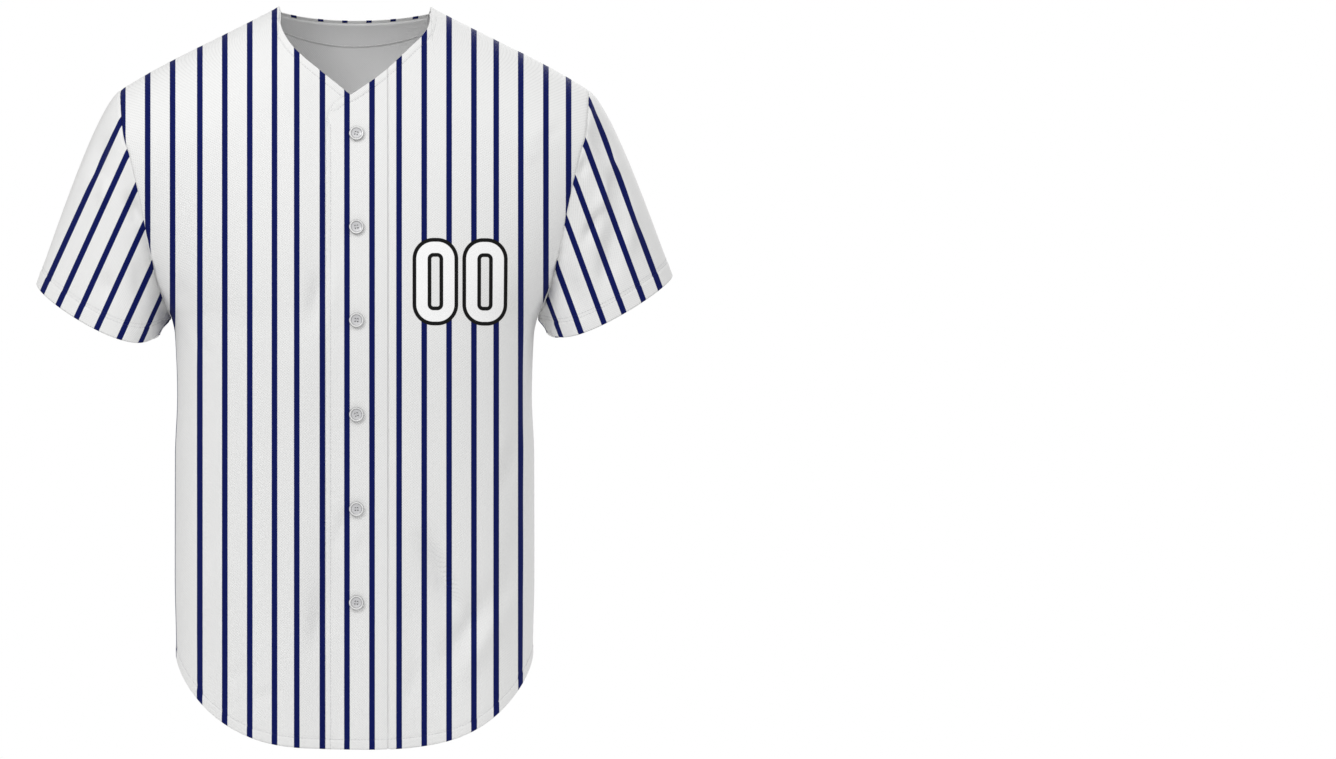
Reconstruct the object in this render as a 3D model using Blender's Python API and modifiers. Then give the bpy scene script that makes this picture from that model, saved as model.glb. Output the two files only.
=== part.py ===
"""Baseball jersey, filled out and hollow, as it hangs on the person who wears it.

Metres, +Z up, the front faces -Y and +X is the wearer's left. The origin lies midway between the
shoulders, at the height where the neck meets them. Every cloth piece is an open surface worked out
from the tables below, with a Solidify modifier that gives it its wall on the inner side.
"""

import math
from collections import namedtuple

import bmesh
import bpy
from mathutils import Matrix, Vector

MM = 0.001

# Cloth
WALL = 1.2 * MM
TURNED_WALL = 2.0 * MM  # two layers, at a turned hem and in the placket
SEAM_GAP = 0.4 * MM  # between the outer faces of two pieces sewn together
LAYER_GAP = 0.3 * MM  # between two layers that lie on each other
FACET_ROOM = 0.4 * MM  # how far a flat facet may lie inside the round surface

# Body: one row for each height, in millimetres. The half width is the side seam's up to the armpit
# and the armhole's above it. The armhole share is how much of the depth is left at the armhole.
Body = namedtuple("Body", "height half_width front_depth back_depth armhole_share")
BODY = [
    Body(-790, 187.0, 117, 111, 0.0),
    Body(-673, 187.0, 119, 108, 0.0),
    Body(-594, 188.5, 120, 105, 0.0),
    Body(-468, 188.3, 122, 103, 0.0),
    Body(-405, 185.9, 125, 107, 0.0),
    Body(-342, 188.0, 128, 114, 0.0),
    Body(-323.4, 191.6, 128, 116, 0.0),
    Body(-318, 193.6, 128, 116, 0.15),
    Body(-308, 196.8, 128, 117, 0.26),
    Body(-285, 203.5, 127, 118, 0.42),
    Body(-244, 211.1, 124, 118, 0.575),
    Body(-197.6, 219.3, 119, 117, 0.66),
    Body(-155.6, 229.1, 112, 114, 0.71),
    Body(-136.5, 235.1, 108, 112, 0.73),
    Body(-100, 239.5, 100, 107, 0.765),
    Body(-84, 241.0, 97, 105, 0.78),
    Body(-40, 241.0, 91, 101, 0.78),
    Body(30, 241.0, 85, 98, 0.78),
]
SQUARENESS = 2.5  # 2 is an ellipse, more is flatter in front and behind

# Shoulders
SHOULDER_X = 241.0 * MM
SHOULDER_Z = -84.0 * MM
ARMPIT_Z = -323.4 * MM
RIDGE_BULGE = 2.5 * MM
NECK_RISE = 20.0 * MM  # how far the shoulder line would climb to the middle of the neck
FRONT_ROLL = 110.0 * MM  # height over which the front rolls over the shoulder
BACK_ROLL = 100.0 * MM

# Neck: the edge of each front as seen from the front, from the foot of the V to the shoulder seam
Edge = namedtuple("Edge", "x height")
NECK_LEFT = [
    Edge(-3.6, -96.5),
    Edge(26.2, -75.4),
    Edge(57.2, -46.4),
    Edge(75.2, -25.4),
    Edge(79.4, -10.0),
    Edge(79.6, -1.0),
]
NECK_RIGHT = [
    Edge(3.6, -96.5),
    Edge(35.4, -70.2),
    Edge(62.3, -46.5),
    Edge(74.1, -27.9),
    Edge(78.0, -12.8),
    Edge(78.4, 0.5),
]
NAPE_Z = -5.0 * MM
NECK_RIDGE_Z = 3.0 * MM

# Placket: the left front's edge, folded back and sewn down, and the right front that runs under it
LAP_CORNER = [
    Edge(-28.9, -128.5),
    Edge(-26.1, -114.2),
    Edge(-14.8, -100.6),
    Edge(-3.6, -96.5),
]
PLACKET_SEAM_X = 34.2 * MM
PLACKET_COLUMNS = (-28.9, -28.0, -26.1, -20.5, -13.0, -3.6, 9.0, 22.0)
UNDER_COLUMNS = (-28.9, -16.0, -3.6, 12.0, 31.0, 38.0)  # counted from the wearer's right side
LAP_START_X = 60.0 * MM
LAP_FULL_X = 38.0 * MM
STRIP_X = 60.0 * MM  # outside this the columns of the fronts spread out to the seams

# Hem: a shirt tail, deepest in the middle
HEM_SIDE_Z = -673.0 * MM
HEM_FRONT_Z = -765.0 * MM
HEM_BACK_Z = -768.0 * MM
HEM_POWER = 3.2
HEM_ROUND = 0.72
HEM_WAVE = 3.0 * MM
HEM_WAVE_FROM = -480.0 * MM
HEM_WAVES = 3.5  # across the width
CUFF_TURN = 16.0 * MM

# Largest folds: middle, direction from upright, half length, half width and height in millimetres
Fold = namedtuple("Fold", "x height lean half_length half_width depth")
FRONT_FOLDS = [
    Fold(-50, -300, 8, 75, 16, -3.0),
    Fold(-38, -620, 4, 80, 18, -3.0),
    Fold(-165, -330, -28, 45, 14, 3.0),
    Fold(90, -590, -22, 75, 20, -5.0),
    Fold(135, -640, 24, 80, 20, 4.0),
    Fold(168, -470, 14, 70, 16, -3.5),
    Fold(196, -135, 58, 40, 15, 3.0),
    Fold(-150, -610, 20, 70, 20, 3.0),
]
BACK_FOLDS = [
    Fold(110, -310, 10, 110, 18, -4.0),
    Fold(118, -500, 12, 100, 18, -4.0),
    Fold(140, -600, 8, 40, 16, 3.0),
    Fold(-125, -330, -8, 70, 18, -4.0),
    Fold(-140, -560, -4, 130, 20, -4.5),
    Fold(30, -660, -4, 70, 22, 3.0),
]

# Sleeves: corners of the cuff and how far its front and back edges dip below the line between them
Sleeve = namedtuple("Sleeve", "side outer_x outer_z inner_x inner_z front_dip back_dip half_depth")
SLEEVES = {
    "sleeve_right": Sleeve(-1, 333.4, -286.7, 204.0, -338.5, 21.5, 15.0, 70.0),
    "sleeve_left": Sleeve(1, 333.4, -278.5, 201.5, -337.0, 16.5, 15.0, 70.0),
}
CUFF_SKEW = 0.19
CUFF_ROUND = 1.35
SLEEVE_LEAN = 20.0  # degrees from upright at the cuff
SLEEVE_FULLNESS = 0.36  # how long the sleeve keeps the slope that the shoulder gives it
SLEEVE_END_PULL = 0.90
SLEEVE_LEVELS = (0.0, 0.1, 0.22, 0.34, 0.47, 0.6, 0.72, 0.83)

# Neck facing, inside the back
FACING_HALF = 64.0 * MM
FACING_ROOM = 1.0 * MM
FACING_TOP = 3.0 * MM
FACING_DEPTH = 24.0 * MM
FACING_WALL = 1.0 * MM

# Buttons
BUTTON_X = 2.0 * MM
BUTTON_HEIGHTS = (-136.5, -232.5, -327.5, -423.5, -520.0, -615.5)
BUTTON_RADIUS = 7.6 * MM
BUTTON_THICK = 3.0 * MM
BUTTON_RIM = 1.9 * MM
BUTTON_DISH = 0.8 * MM
BUTTON_STEPS = 20
BUTTON_HOLE = 0.8 * MM
BUTTON_HOLE_AT = 1.7 * MM
BUTTON_HOLE_SIDES = 8
BUTTON_ROOM = 0.35 * MM

# Grid of the panels: shares of the way up from the hem, with the armpit between
LEVELS_BELOW = (0.0, 0.016, 0.06, 0.12, 0.18, 0.24, 0.3, 0.36, 0.42, 0.48, 0.54)
LEVELS_ABOVE = (0.02, 0.07, 0.15, 0.26, 0.38, 0.5, 0.62, 0.73, 0.83, 0.91, 0.96, 0.986, 0.9965)
NECK_COLUMNS = 5
SIDE_COLUMNS = 7
STRIP_NECK_COLUMNS = 2
TURNED_ROWS = 2  # rows of points that lie in a turned hem or cuff
FACING_COLUMNS = 12
FACING_ROWS = 3

WHITE_CLOTH = (0.80, 0.80, 0.79)
BUTTON_WHITE = (0.74, 0.74, 0.73)


def smooth(table, at, key, value):
    """The value at one place of a table, on a curve through its rows that never overshoots."""
    xs = [getattr(row, key) for row in table]
    ys = [getattr(row, value) for row in table]
    if at <= xs[0]:
        return ys[0]
    if at >= xs[-1]:
        return ys[-1]
    steps = [(ys[i + 1] - ys[i]) / (xs[i + 1] - xs[i]) for i in range(len(xs) - 1)]
    i = max(k for k in range(len(steps)) if xs[k] <= at)
    slopes = []
    for k in (i, i + 1):
        if k in (0, len(steps)):
            slopes.append(steps[min(k, len(steps) - 1)])
        elif steps[k - 1] * steps[k] <= 0:
            slopes.append(0.0)
        else:
            slopes.append(2 * steps[k - 1] * steps[k] / (steps[k - 1] + steps[k]))
    width = xs[i + 1] - xs[i]
    t = (at - xs[i]) / width
    start = (1 + 2 * t) * (1 - t) ** 2 * ys[i] + t * (1 - t) ** 2 * width * slopes[0]
    end = t * t * (3 - 2 * t) * ys[i + 1] + t * t * (t - 1) * width * slopes[1]
    return start + end


def ease(t):
    """0 to 1 with level ends."""
    t = min(1.0, max(0.0, t))
    return t * t * (3 - 2 * t)


def body(z, value):
    return smooth(BODY, z / MM, "height", value)


def half_width(z):
    """From the middle to the side seam, or to the armhole's edge above the armpit."""
    return body(z, "half_width") * MM


def section_half_width(z):
    """Half width of the whole oval section, which the armhole cuts short."""
    z = min(z, SHOULDER_Z)
    share = body(z, "armhole_share")
    return half_width(z) / (1 - share**SQUARENESS) ** (1 / SQUARENESS)


def ridge(x):
    """Height of the shoulder line, which carries on over the neck opening."""
    x = abs(x)
    neck = NECK_LEFT[-1].x * MM
    if x < neck:
        return NECK_RIDGE_Z + NECK_RISE * (1 - (x / neck) ** 2)
    along = min(1.0, (x - neck) / (SHOULDER_X - neck))
    fall = SHOULDER_Z - NECK_RIDGE_Z
    return NECK_RIDGE_Z + fall * along + RIDGE_BULGE * math.sin(math.pi * along**2)


def fold_height(folds, x, z):
    """What the largest folds add to the surface, outwards."""
    total = 0.0
    for fold in folds:
        lean = math.radians(fold.lean)
        dx = x / MM - fold.x
        dz = z / MM - fold.height
        along = dx * math.sin(lean) + dz * math.cos(lean)
        across = dx * math.cos(lean) - dz * math.sin(lean)
        if abs(along) < fold.half_length:
            taper = math.cos(0.5 * math.pi * along / fold.half_length) ** 2
            total += fold.depth * MM * taper * math.exp(-((across / fold.half_width) ** 2))
    return total


def depth(x, z, front):
    """How far the outer surface lies in front of the side seams, or behind them."""
    whole = body(z, "front_depth" if front else "back_depth") * MM
    wave = HEM_WAVE * ease((HEM_WAVE_FROM - z) / (HEM_WAVE_FROM - HEM_FRONT_Z))
    wave *= math.sin(2 * math.pi * HEM_WAVES * x / (2 * half_width(z)) + (0.6 if front else 2.1))
    whole += wave + fold_height(FRONT_FOLDS if front else BACK_FOLDS, x, z)
    share = min(1.0, abs(x) / section_half_width(z))
    oval = (1 - share**SQUARENESS) ** (1 / SQUARENESS)
    roll = FRONT_ROLL if front else BACK_ROLL
    below = min(1.0, max(0.0, (ridge(x) - z) / roll))
    return whole * oval * math.sqrt(1 - (1 - below) ** 2)


def surface(x, z, front):
    """Point of the outer surface."""
    y = depth(x, z, front)
    return Vector((x, -y if front else y, z))


def outward(x, z, front):
    """Normal of the outer surface."""
    step = 1.5 * MM
    along_x = surface(x + step, z, front) - surface(x - step, z, front)
    along_z = surface(x, z + step, front) - surface(x, z - step, front)
    normal = along_x.cross(along_z) if front else along_z.cross(along_x)
    return normal.normalized()


def hem(x, front):
    """Height of the hem's edge."""
    lowest = HEM_FRONT_Z if front else HEM_BACK_Z
    share = min(1.0, abs(x) / half_width(HEM_SIDE_Z))
    rise = 1 - (1 - share**HEM_POWER) ** HEM_ROUND
    return lowest + (HEM_SIDE_Z - lowest) * rise


def top(x, front):
    """Height of the upper edge: the neckline, then the shoulder seam."""
    table = NECK_LEFT if x > 0 else NECK_RIGHT
    if abs(x) >= table[-1].x * MM:
        return ridge(x)
    if front:
        return smooth(table, abs(x) / MM, "x", "height") * MM
    share = (abs(x) / (table[-1].x * MM)) ** 2
    return NAPE_Z + (table[-1].height * MM - NAPE_Z) * share


def lap_corner(x):
    """Upper edge of a front where it is rounded off below the foot of the V."""
    return smooth(LAP_CORNER, x / MM, "x", "height") * MM


def levels():
    """Shares of the way up at which every panel has a row of points, and where the armpit is."""
    armpit = (ARMPIT_Z - HEM_SIDE_Z) / (SHOULDER_Z - HEM_SIDE_Z)
    rows = list(LEVELS_BELOW) + [armpit]
    rows += [armpit + (1 - armpit) * share for share in LEVELS_ABOVE] + [1.0]
    return rows, len(LEVELS_BELOW)


def spread_column(side, front, inner_x, share, top_x, up):
    """A panel's point: share runs from the inner column to the seam, up from the hem to the top."""
    armpit = (ARMPIT_Z - HEM_SIDE_Z) / (SHOULDER_Z - HEM_SIDE_Z)
    power = 2 / SQUARENESS
    edge_z = HEM_SIDE_Z + (SHOULDER_Z - HEM_SIDE_Z) * up
    edge_x = half_width(edge_z)
    hem_x = half_width(HEM_SIDE_Z)
    start = math.asin((inner_x / hem_x) ** (1 / power))
    angle = start + (math.pi / 2 - start) * share
    low = (hem_x * math.sin(angle) ** power - inner_x) / (hem_x - inner_x)
    high = (top_x - inner_x) / (SHOULDER_X - inner_x)
    mix = ease((up - armpit) / (1 - armpit))
    x = inner_x + (edge_x - inner_x) * (low * (1 - mix) + high * mix)
    bottom = hem(side * (inner_x + (hem_x - inner_x) * low), front)
    z = bottom + (top(side * top_x, front) - bottom) * up
    return side * x, z


def top_columns(side, inner_x, neck_cells, side_cells):
    """Where the columns of a panel meet its upper edge, closer together at the neck's corner."""
    neck = (NECK_LEFT if side > 0 else NECK_RIGHT)[-1].x * MM
    near = [math.sin(0.5 * math.pi * k / neck_cells) for k in range(neck_cells)]
    places = [inner_x + (neck - inner_x) * share for share in near]
    far = [k / side_cells for k in range(side_cells + 1)]
    return places + [neck + (SHOULDER_X - neck) * share for share in far]


def seated(x, z, front, at_seam):
    """The surface's point, set back from the seam that it shares with the other panel."""
    point = surface(x, z, front)
    if at_seam:
        point.y += -SEAM_GAP / 2 if front else SEAM_GAP / 2
    return point


def half_panel(side, front, inner_x, neck_cells, side_cells):
    """Rows of points from the inner column out to the seam."""
    ups, armpit_row = levels()
    places = top_columns(side, inner_x, neck_cells, side_cells)
    last = len(places) - 1
    rows = []
    for number, up in enumerate(ups):
        row = []
        for column, top_x in enumerate(places):
            x, z = spread_column(side, front, inner_x, column / last, top_x, up)
            side_seam = column == last and number <= armpit_row
            shoulder_seam = column >= neck_cells and number == len(ups) - 1
            row.append(seated(x, z, front, side_seam or shoulder_seam))
        rows.append(row)
    return rows


def lap_depth(x):
    """How far the right front sinks to run under the placket."""
    sunk = TURNED_WALL + LAYER_GAP + FACET_ROOM
    return sunk * ease((x + LAP_START_X) / (LAP_START_X - LAP_FULL_X))


def strip_rows(xs, tops, sunk):
    """Rows of points of a strip whose columns run straight up at fixed places."""
    ups, _ = levels()
    rows = []
    for up in ups:
        row = []
        for x, top_z in zip(xs, tops):
            bottom = hem(x, True)
            z = bottom + (top_z - bottom) * up
            point = surface(x, z, True)
            point -= sunk(x) * outward(x, z, True)
            row.append(point)
        rows.append(row)
    return rows


def front_right_rows():
    """The wearer's right front, from its hidden edge under the placket out to the seams."""
    xs = [-place * MM for place in UNDER_COLUMNS]
    foot = -LAP_CORNER[-1].x * MM
    tops = [lap_corner(-x) if x > foot else top(x, True) for x in xs]
    inner = strip_rows(xs, tops, lap_depth)
    outer = half_panel(-1, True, STRIP_X, STRIP_NECK_COLUMNS, SIDE_COLUMNS)
    return [near + far for near, far in zip(inner, outer)]


def front_left_rows():
    """The wearer's left front, from the placket's seam out to the other seams."""
    xs = [PLACKET_SEAM_X + SEAM_GAP / 2, (PLACKET_SEAM_X + STRIP_X) / 2]
    inner = strip_rows(xs, [top(x, True) for x in xs], lambda x: 0.0)
    outer = half_panel(1, True, STRIP_X, STRIP_NECK_COLUMNS, SIDE_COLUMNS)
    return [near + far for near, far in zip(inner, outer)]


def placket_rows():
    """The band that the buttons go through, rounded off at the foot of the neck's V."""
    xs = [place * MM for place in PLACKET_COLUMNS] + [PLACKET_SEAM_X - SEAM_GAP / 2]
    foot = LAP_CORNER[-1].x * MM
    tops = [lap_corner(x) if x < foot else neck_left(x) for x in xs]
    return strip_rows(xs, tops, lambda x: 0.0)


def neck_left(x):
    """The left front's neckline, which starts a little past the middle."""
    return smooth(NECK_LEFT, x / MM, "x", "height") * MM


def back_rows():
    """The back in one piece, from its right seams to its left ones."""
    halves = [half_panel(side, False, 0.0, NECK_COLUMNS, SIDE_COLUMNS) for side in (-1, 1)]
    return [right[:0:-1] + left for right, left in zip(*halves)]


def cuff_point(sleeve, turn):
    """Point of the cuff's edge: turn 0 is at the underarm seam, 0.5 at the top, front first."""
    angle = 2 * math.pi * turn
    skew = CUFF_SKEW * math.sin(angle) ** 2
    share = (1 - math.cos(angle)) / 2 - skew
    inner = Vector((sleeve.inner_x, 0, sleeve.inner_z)) * MM
    outer = Vector((sleeve.outer_x, 0, sleeve.outer_z)) * MM
    line = outer - inner
    down = Vector((line.z, 0, -line.x)).normalized()
    dip = (sleeve.front_dip if turn < 0.5 else sleeve.back_dip) * MM
    point = inner + line * share + down * dip * abs(math.sin(angle)) ** CUFF_ROUND
    point.y = -sleeve.half_depth * MM * math.sin(angle)
    point.x *= sleeve.side
    return point


def armhole(side):
    """The armhole's edge, a loop from the armpit up the front and down the back, with normals."""
    ups, armpit_row = levels()
    loop = []
    for front in (True, False):
        half = []
        for up in ups[armpit_row:]:
            z = HEM_SIDE_Z + (SHOULDER_Z - HEM_SIDE_Z) * up
            x = side * half_width(z)
            half.append((surface(x, z, front), outward(x * 0.97, z - 2 * MM, front)))
        loop += half[:-1] if front else half[:0:-1]
    middle = len(loop) // 2
    slope = math.atan2(SHOULDER_Z - NECK_RIDGE_Z, SHOULDER_X - NECK_LEFT[-1].x * MM)
    loop[0] = (loop[0][0], Vector((side, 0, 0)))
    loop[middle] = (loop[middle][0], Vector((-side * math.sin(slope), 0, math.cos(slope))))
    return loop


def loop_turns(points):
    """Shares of the way round a loop whose two halves are measured apart."""
    middle = len(points) // 2
    turns = []
    for start, stop in ((0, middle), (middle, len(points))):
        part = [points[k % len(points)] for k in range(start, stop + 1)]
        lengths = [0.0]
        for a, b in zip(part, part[1:]):
            lengths.append(lengths[-1] + (b - a).length)
        offset = 0.0 if start == 0 else 0.5
        turns += [offset + 0.5 * length / lengths[-1] for length in lengths[:-1]]
    return turns


def sleeve_rows(sleeve):
    """Rings of points from the armhole to the cuff."""
    loop = armhole(sleeve.side)
    turns = loop_turns([point for point, _ in loop])
    outer = Vector((sleeve.side * sleeve.outer_x, 0, sleeve.outer_z)) * MM
    fall = (outer - Vector((sleeve.side * SHOULDER_X, 0, SHOULDER_Z))).normalized()
    lean = math.radians(SLEEVE_LEAN)
    close = Vector((sleeve.side * math.sin(lean), 0, -math.cos(lean)))
    rings = []
    cuff = [cuff_point(sleeve, turn) for turn in turns]
    hem_share = 1 - CUFF_TURN / (cuff[len(cuff) // 4] - loop[len(loop) // 4][0]).length
    for level in list(SLEEVE_LEVELS) + [hem_share, 1.0]:
        ring = []
        for (start, normal), end, turn in zip(loop, cuff, turns):
            reach = (end - start).length
            follow = ease((1 - abs(1 - 2 * turn)) * 3.2)
            begin = (fall - follow * fall.dot(normal) * normal).normalized()
            first = start + begin * SEAM_GAP
            a = level * (1 - level) ** 2 * reach * SLEEVE_FULLNESS
            b = level * level * (level - 1) * reach * SLEEVE_END_PULL
            near = (1 + 2 * level) * (1 - level) ** 2
            ring.append(first * near + end * (1 - near) + begin * a + close * b)
        rings.append(ring)
    return rings


def facing_rows():
    """The neck facing, on the inner side of the back, a little below its edge."""
    sunk = WALL + LAYER_GAP + FACING_ROOM
    rows = []
    for step in range(FACING_ROWS + 1):
        row = []
        for k in range(FACING_COLUMNS + 1):
            x = FACING_HALF * math.sin(0.5 * math.pi * (2 * k / FACING_COLUMNS - 1))
            z = top(x, False) - FACING_TOP - FACING_DEPTH * step / FACING_ROWS
            row.append(surface(x, z, False) - sunk * outward(x, z, False))
        rows.append(row)
    return rows[::-1]


def material(name, colour, roughness):
    made = bpy.data.materials.new(name)
    made.use_nodes = True
    shader = made.node_tree.nodes["Principled BSDF"]
    shader.inputs["Base Color"].default_value = (*colour, 1.0)
    shader.inputs["Roughness"].default_value = roughness
    shader.inputs["Metallic"].default_value = 0.0
    return made


def collection(name):
    made = bpy.data.collections.new(name)
    bpy.context.scene.collection.children.link(made)
    return made


BODY_MIDDLE = Vector((0, 0, -400 * MM))
SLEEVE_MIDDLE = Vector((250 * MM, 0, -240 * MM))
NECK_MIDDLE = Vector((0, 0, -50 * MM))


def loft(name, rows, closed, inside):
    """An open surface through rows of points, its faces turned away from the point inside it."""
    mesh_builder = bmesh.new()
    verts = [[mesh_builder.verts.new(point) for point in row] for row in rows]
    for low, high in zip(verts, verts[1:]):
        pairs = list(zip(low, high))
        if closed:
            pairs.append(pairs[0])
        for (a, b), (c, d) in zip(pairs, pairs[1:]):
            mesh_builder.faces.new((a, c, d, b))
    mesh_builder.normal_update()
    outward_area = 0.0
    for face in mesh_builder.faces:
        outward_area += face.normal.dot(face.calc_center_median() - inside) * face.calc_area()
    if outward_area < 0:
        bmesh.ops.reverse_faces(mesh_builder, faces=mesh_builder.faces)
    mesh = bpy.data.meshes.new(name)
    mesh_builder.to_mesh(mesh)
    mesh_builder.free()
    return mesh


def cloth(name, rows, look, home, wall=WALL, closed=False, inside=BODY_MIDDLE, hem_count=0):
    """A cloth piece: its open surface, its wall, and the double wall of its turned hem."""
    mesh = loft(name, rows, closed, inside)
    mesh.materials.append(look)
    mesh.shade_smooth()
    piece = bpy.data.objects.new(name, mesh)
    home.objects.link(piece)
    solidify = piece.modifiers.new("wall", "SOLIDIFY")
    solidify.offset = -1
    solidify.thickness = wall
    if hem_count:
        turned = piece.vertex_groups.new(name="turned hem")
        turned.add(range(hem_count * len(rows[0])), 1.0, "REPLACE")
        solidify.vertex_group = turned.name
        solidify.thickness = TURNED_WALL
        solidify.thickness_vertex_group = wall / TURNED_WALL
    return piece


def button_mesh(look):
    """One button, turned about Z with its back at height 0, and its four holes."""
    bottom_radius = BUTTON_RADIUS - 1.6 * MM
    profile = [
        (0.0, BUTTON_THICK - BUTTON_DISH),
        (BUTTON_RADIUS - BUTTON_RIM - 0.5 * MM, BUTTON_THICK - BUTTON_DISH),
        (BUTTON_RADIUS - BUTTON_RIM, BUTTON_THICK - 0.25 * MM),
        (BUTTON_RADIUS - BUTTON_RIM * 0.55, BUTTON_THICK),
        (BUTTON_RADIUS - 0.35 * MM, BUTTON_THICK - 0.45 * MM),
        (BUTTON_RADIUS, BUTTON_THICK - 1.2 * MM),
        (bottom_radius, 0.0),
        (0.0, 0.0),
    ]
    mesh = bpy.data.meshes.new("button profile")
    edges = [(k, k + 1) for k in range(len(profile) - 1)]
    mesh.from_pydata([(radius, 0.0, height) for radius, height in profile], edges, [])
    blank = bpy.data.objects.new("button blank", mesh)
    bpy.context.scene.collection.objects.link(blank)
    screw = blank.modifiers.new("turn", "SCREW")
    screw.steps = BUTTON_STEPS
    screw.render_steps = BUTTON_STEPS
    screw.use_merge_vertices = True
    screw.merge_threshold = 0.00005
    screw.use_normal_calculate = True
    drills = []
    for corner in range(4):
        angle = math.radians(45 + 90 * corner)
        place = (BUTTON_HOLE_AT * math.cos(angle), BUTTON_HOLE_AT * math.sin(angle), BUTTON_THICK / 2)
        bpy.ops.mesh.primitive_cylinder_add(
            vertices=BUTTON_HOLE_SIDES, radius=BUTTON_HOLE, depth=3 * BUTTON_THICK, location=place
        )
        drill = bpy.context.object
        hole = blank.modifiers.new("hole", "BOOLEAN")
        hole.operation = "DIFFERENCE"
        hole.object = drill
        drills.append(drill)
    bpy.context.view_layer.update()
    turned = blank.evaluated_get(bpy.context.evaluated_depsgraph_get())
    finished = bpy.data.meshes.new_from_object(turned)
    finished.name = "button"
    finished.materials.clear()
    finished.materials.append(look)
    finished.set_sharp_from_angle(angle=math.radians(35))
    for spare in [blank, *drills]:
        bpy.data.objects.remove(spare)
    return finished


def button_place(height):
    """Where a button's back rests on the placket, and how it is turned."""
    normal = outward(BUTTON_X, height, True)
    place = surface(BUTTON_X, height, True) + normal * BUTTON_ROOM
    turn = Vector((0, 0, 1)).rotation_difference(normal).to_matrix().to_4x4()
    return Matrix.Translation(place) @ turn


def build():
    for left_over in list(bpy.data.objects):
        bpy.data.objects.remove(left_over)
    home = collection("baseball_jersey")
    white = material("jersey cloth", WHITE_CLOTH, 0.85)
    button_look = material("button", BUTTON_WHITE, 0.3)

    back = back_rows()
    cloth("back", back, white, home, hem_count=TURNED_ROWS)
    cloth("front_right", front_right_rows(), white, home, hem_count=TURNED_ROWS)
    cloth("front_left", front_left_rows(), white, home, hem_count=TURNED_ROWS)
    cloth("placket", placket_rows(), white, home, wall=TURNED_WALL)
    cloth("neck_facing", facing_rows(), white, home, wall=FACING_WALL, inside=NECK_MIDDLE)

    for name, sleeve in SLEEVES.items():
        rings = sleeve_rows(sleeve)
        middle = Vector((sleeve.side * SLEEVE_MIDDLE.x, 0, SLEEVE_MIDDLE.z))
        cloth(name, rings[::-1], white, home, closed=True, inside=middle, hem_count=TURNED_ROWS)

    button = button_mesh(button_look)
    for number, height in enumerate(BUTTON_HEIGHTS, start=1):
        piece = bpy.data.objects.new(f"button_{number}", button)
        piece.matrix_world = button_place(height * MM)
        home.objects.link(piece)


build()
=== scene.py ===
"""Look of the baseball jersey: striped knit cloth, its stitching, the buttons and a plain stage.

Every piece of cloth is worked out from the tables of the jersey's solids on a finer grid, with the
smaller folds, the seams and the turned hems added. Metres, +Z up, the front faces -Y.
"""

import math
from collections import namedtuple

import bmesh
import bpy
import numpy as np
from mathutils import Matrix, Vector


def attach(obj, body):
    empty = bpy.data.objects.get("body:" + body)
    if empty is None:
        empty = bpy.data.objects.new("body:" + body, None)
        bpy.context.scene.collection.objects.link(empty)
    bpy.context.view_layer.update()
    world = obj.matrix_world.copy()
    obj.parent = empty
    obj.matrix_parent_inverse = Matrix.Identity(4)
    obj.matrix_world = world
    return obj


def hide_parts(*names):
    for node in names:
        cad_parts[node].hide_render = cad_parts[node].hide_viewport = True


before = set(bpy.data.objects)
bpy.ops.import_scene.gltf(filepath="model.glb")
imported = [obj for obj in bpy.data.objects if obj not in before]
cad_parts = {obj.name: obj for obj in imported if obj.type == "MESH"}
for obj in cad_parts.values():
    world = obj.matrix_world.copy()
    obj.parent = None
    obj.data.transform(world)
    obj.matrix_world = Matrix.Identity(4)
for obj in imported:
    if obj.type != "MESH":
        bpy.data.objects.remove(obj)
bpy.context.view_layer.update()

bl_info = {
    "name": "Baseball Jersey",
    "version": (1, 0, 0),
    "blender": (4, 5, 0),
    "location": "3D View > Sidebar > Jersey",
    "description": "Cloth, stitching, buttons and stage of a filled-out baseball jersey",
    "category": "Object",
}

MM = 0.001

# Form of the body and neck, as in the solids
Body = namedtuple("Body", "height half_width front_depth back_depth armhole_share")
BODY = [
    Body(-790, 187.0, 117, 111, 0.0),
    Body(-673, 187.0, 119, 108, 0.0),
    Body(-594, 188.5, 120, 105, 0.0),
    Body(-468, 188.3, 122, 103, 0.0),
    Body(-405, 185.9, 125, 107, 0.0),
    Body(-342, 188.0, 128, 114, 0.0),
    Body(-323.4, 191.6, 128, 116, 0.0),
    Body(-318, 193.6, 128, 116, 0.15),
    Body(-308, 197.3, 128, 117, 0.26),
    Body(-285, 205.0, 127, 118, 0.42),
    Body(-244, 213.9, 124, 118, 0.575),
    Body(-197.6, 222.9, 119, 117, 0.66),
    Body(-155.6, 232.9, 112, 114, 0.71),
    Body(-136.5, 238.9, 108, 112, 0.73),
    Body(-100, 243.6, 100, 107, 0.765),
    Body(-84, 245.0, 97, 105, 0.78),
    Body(-40, 245.0, 91, 101, 0.78),
    Body(30, 245.0, 85, 98, 0.78),
]
SQUARENESS = 2.5
SHOULDER_X = 245.0 * MM
SHOULDER_Z = -84.0 * MM
ARMPIT_Z = -323.4 * MM
RIDGE_BULGE = 2.5 * MM
NECK_RISE = 20.0 * MM
FRONT_ROLL = 110.0 * MM
BACK_ROLL = 100.0 * MM
Edge = namedtuple("Edge", "x height")
NECK_LEFT = [
    Edge(-3.6, -96.5),
    Edge(26.2, -75.4),
    Edge(57.2, -46.4),
    Edge(75.2, -25.4),
    Edge(79.4, -10.0),
    Edge(79.6, -1.0),
]
NECK_RIGHT = [
    Edge(3.6, -96.5),
    Edge(35.4, -70.2),
    Edge(62.3, -46.5),
    Edge(74.1, -27.9),
    Edge(78.0, -12.8),
    Edge(78.4, 0.5),
]
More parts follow.
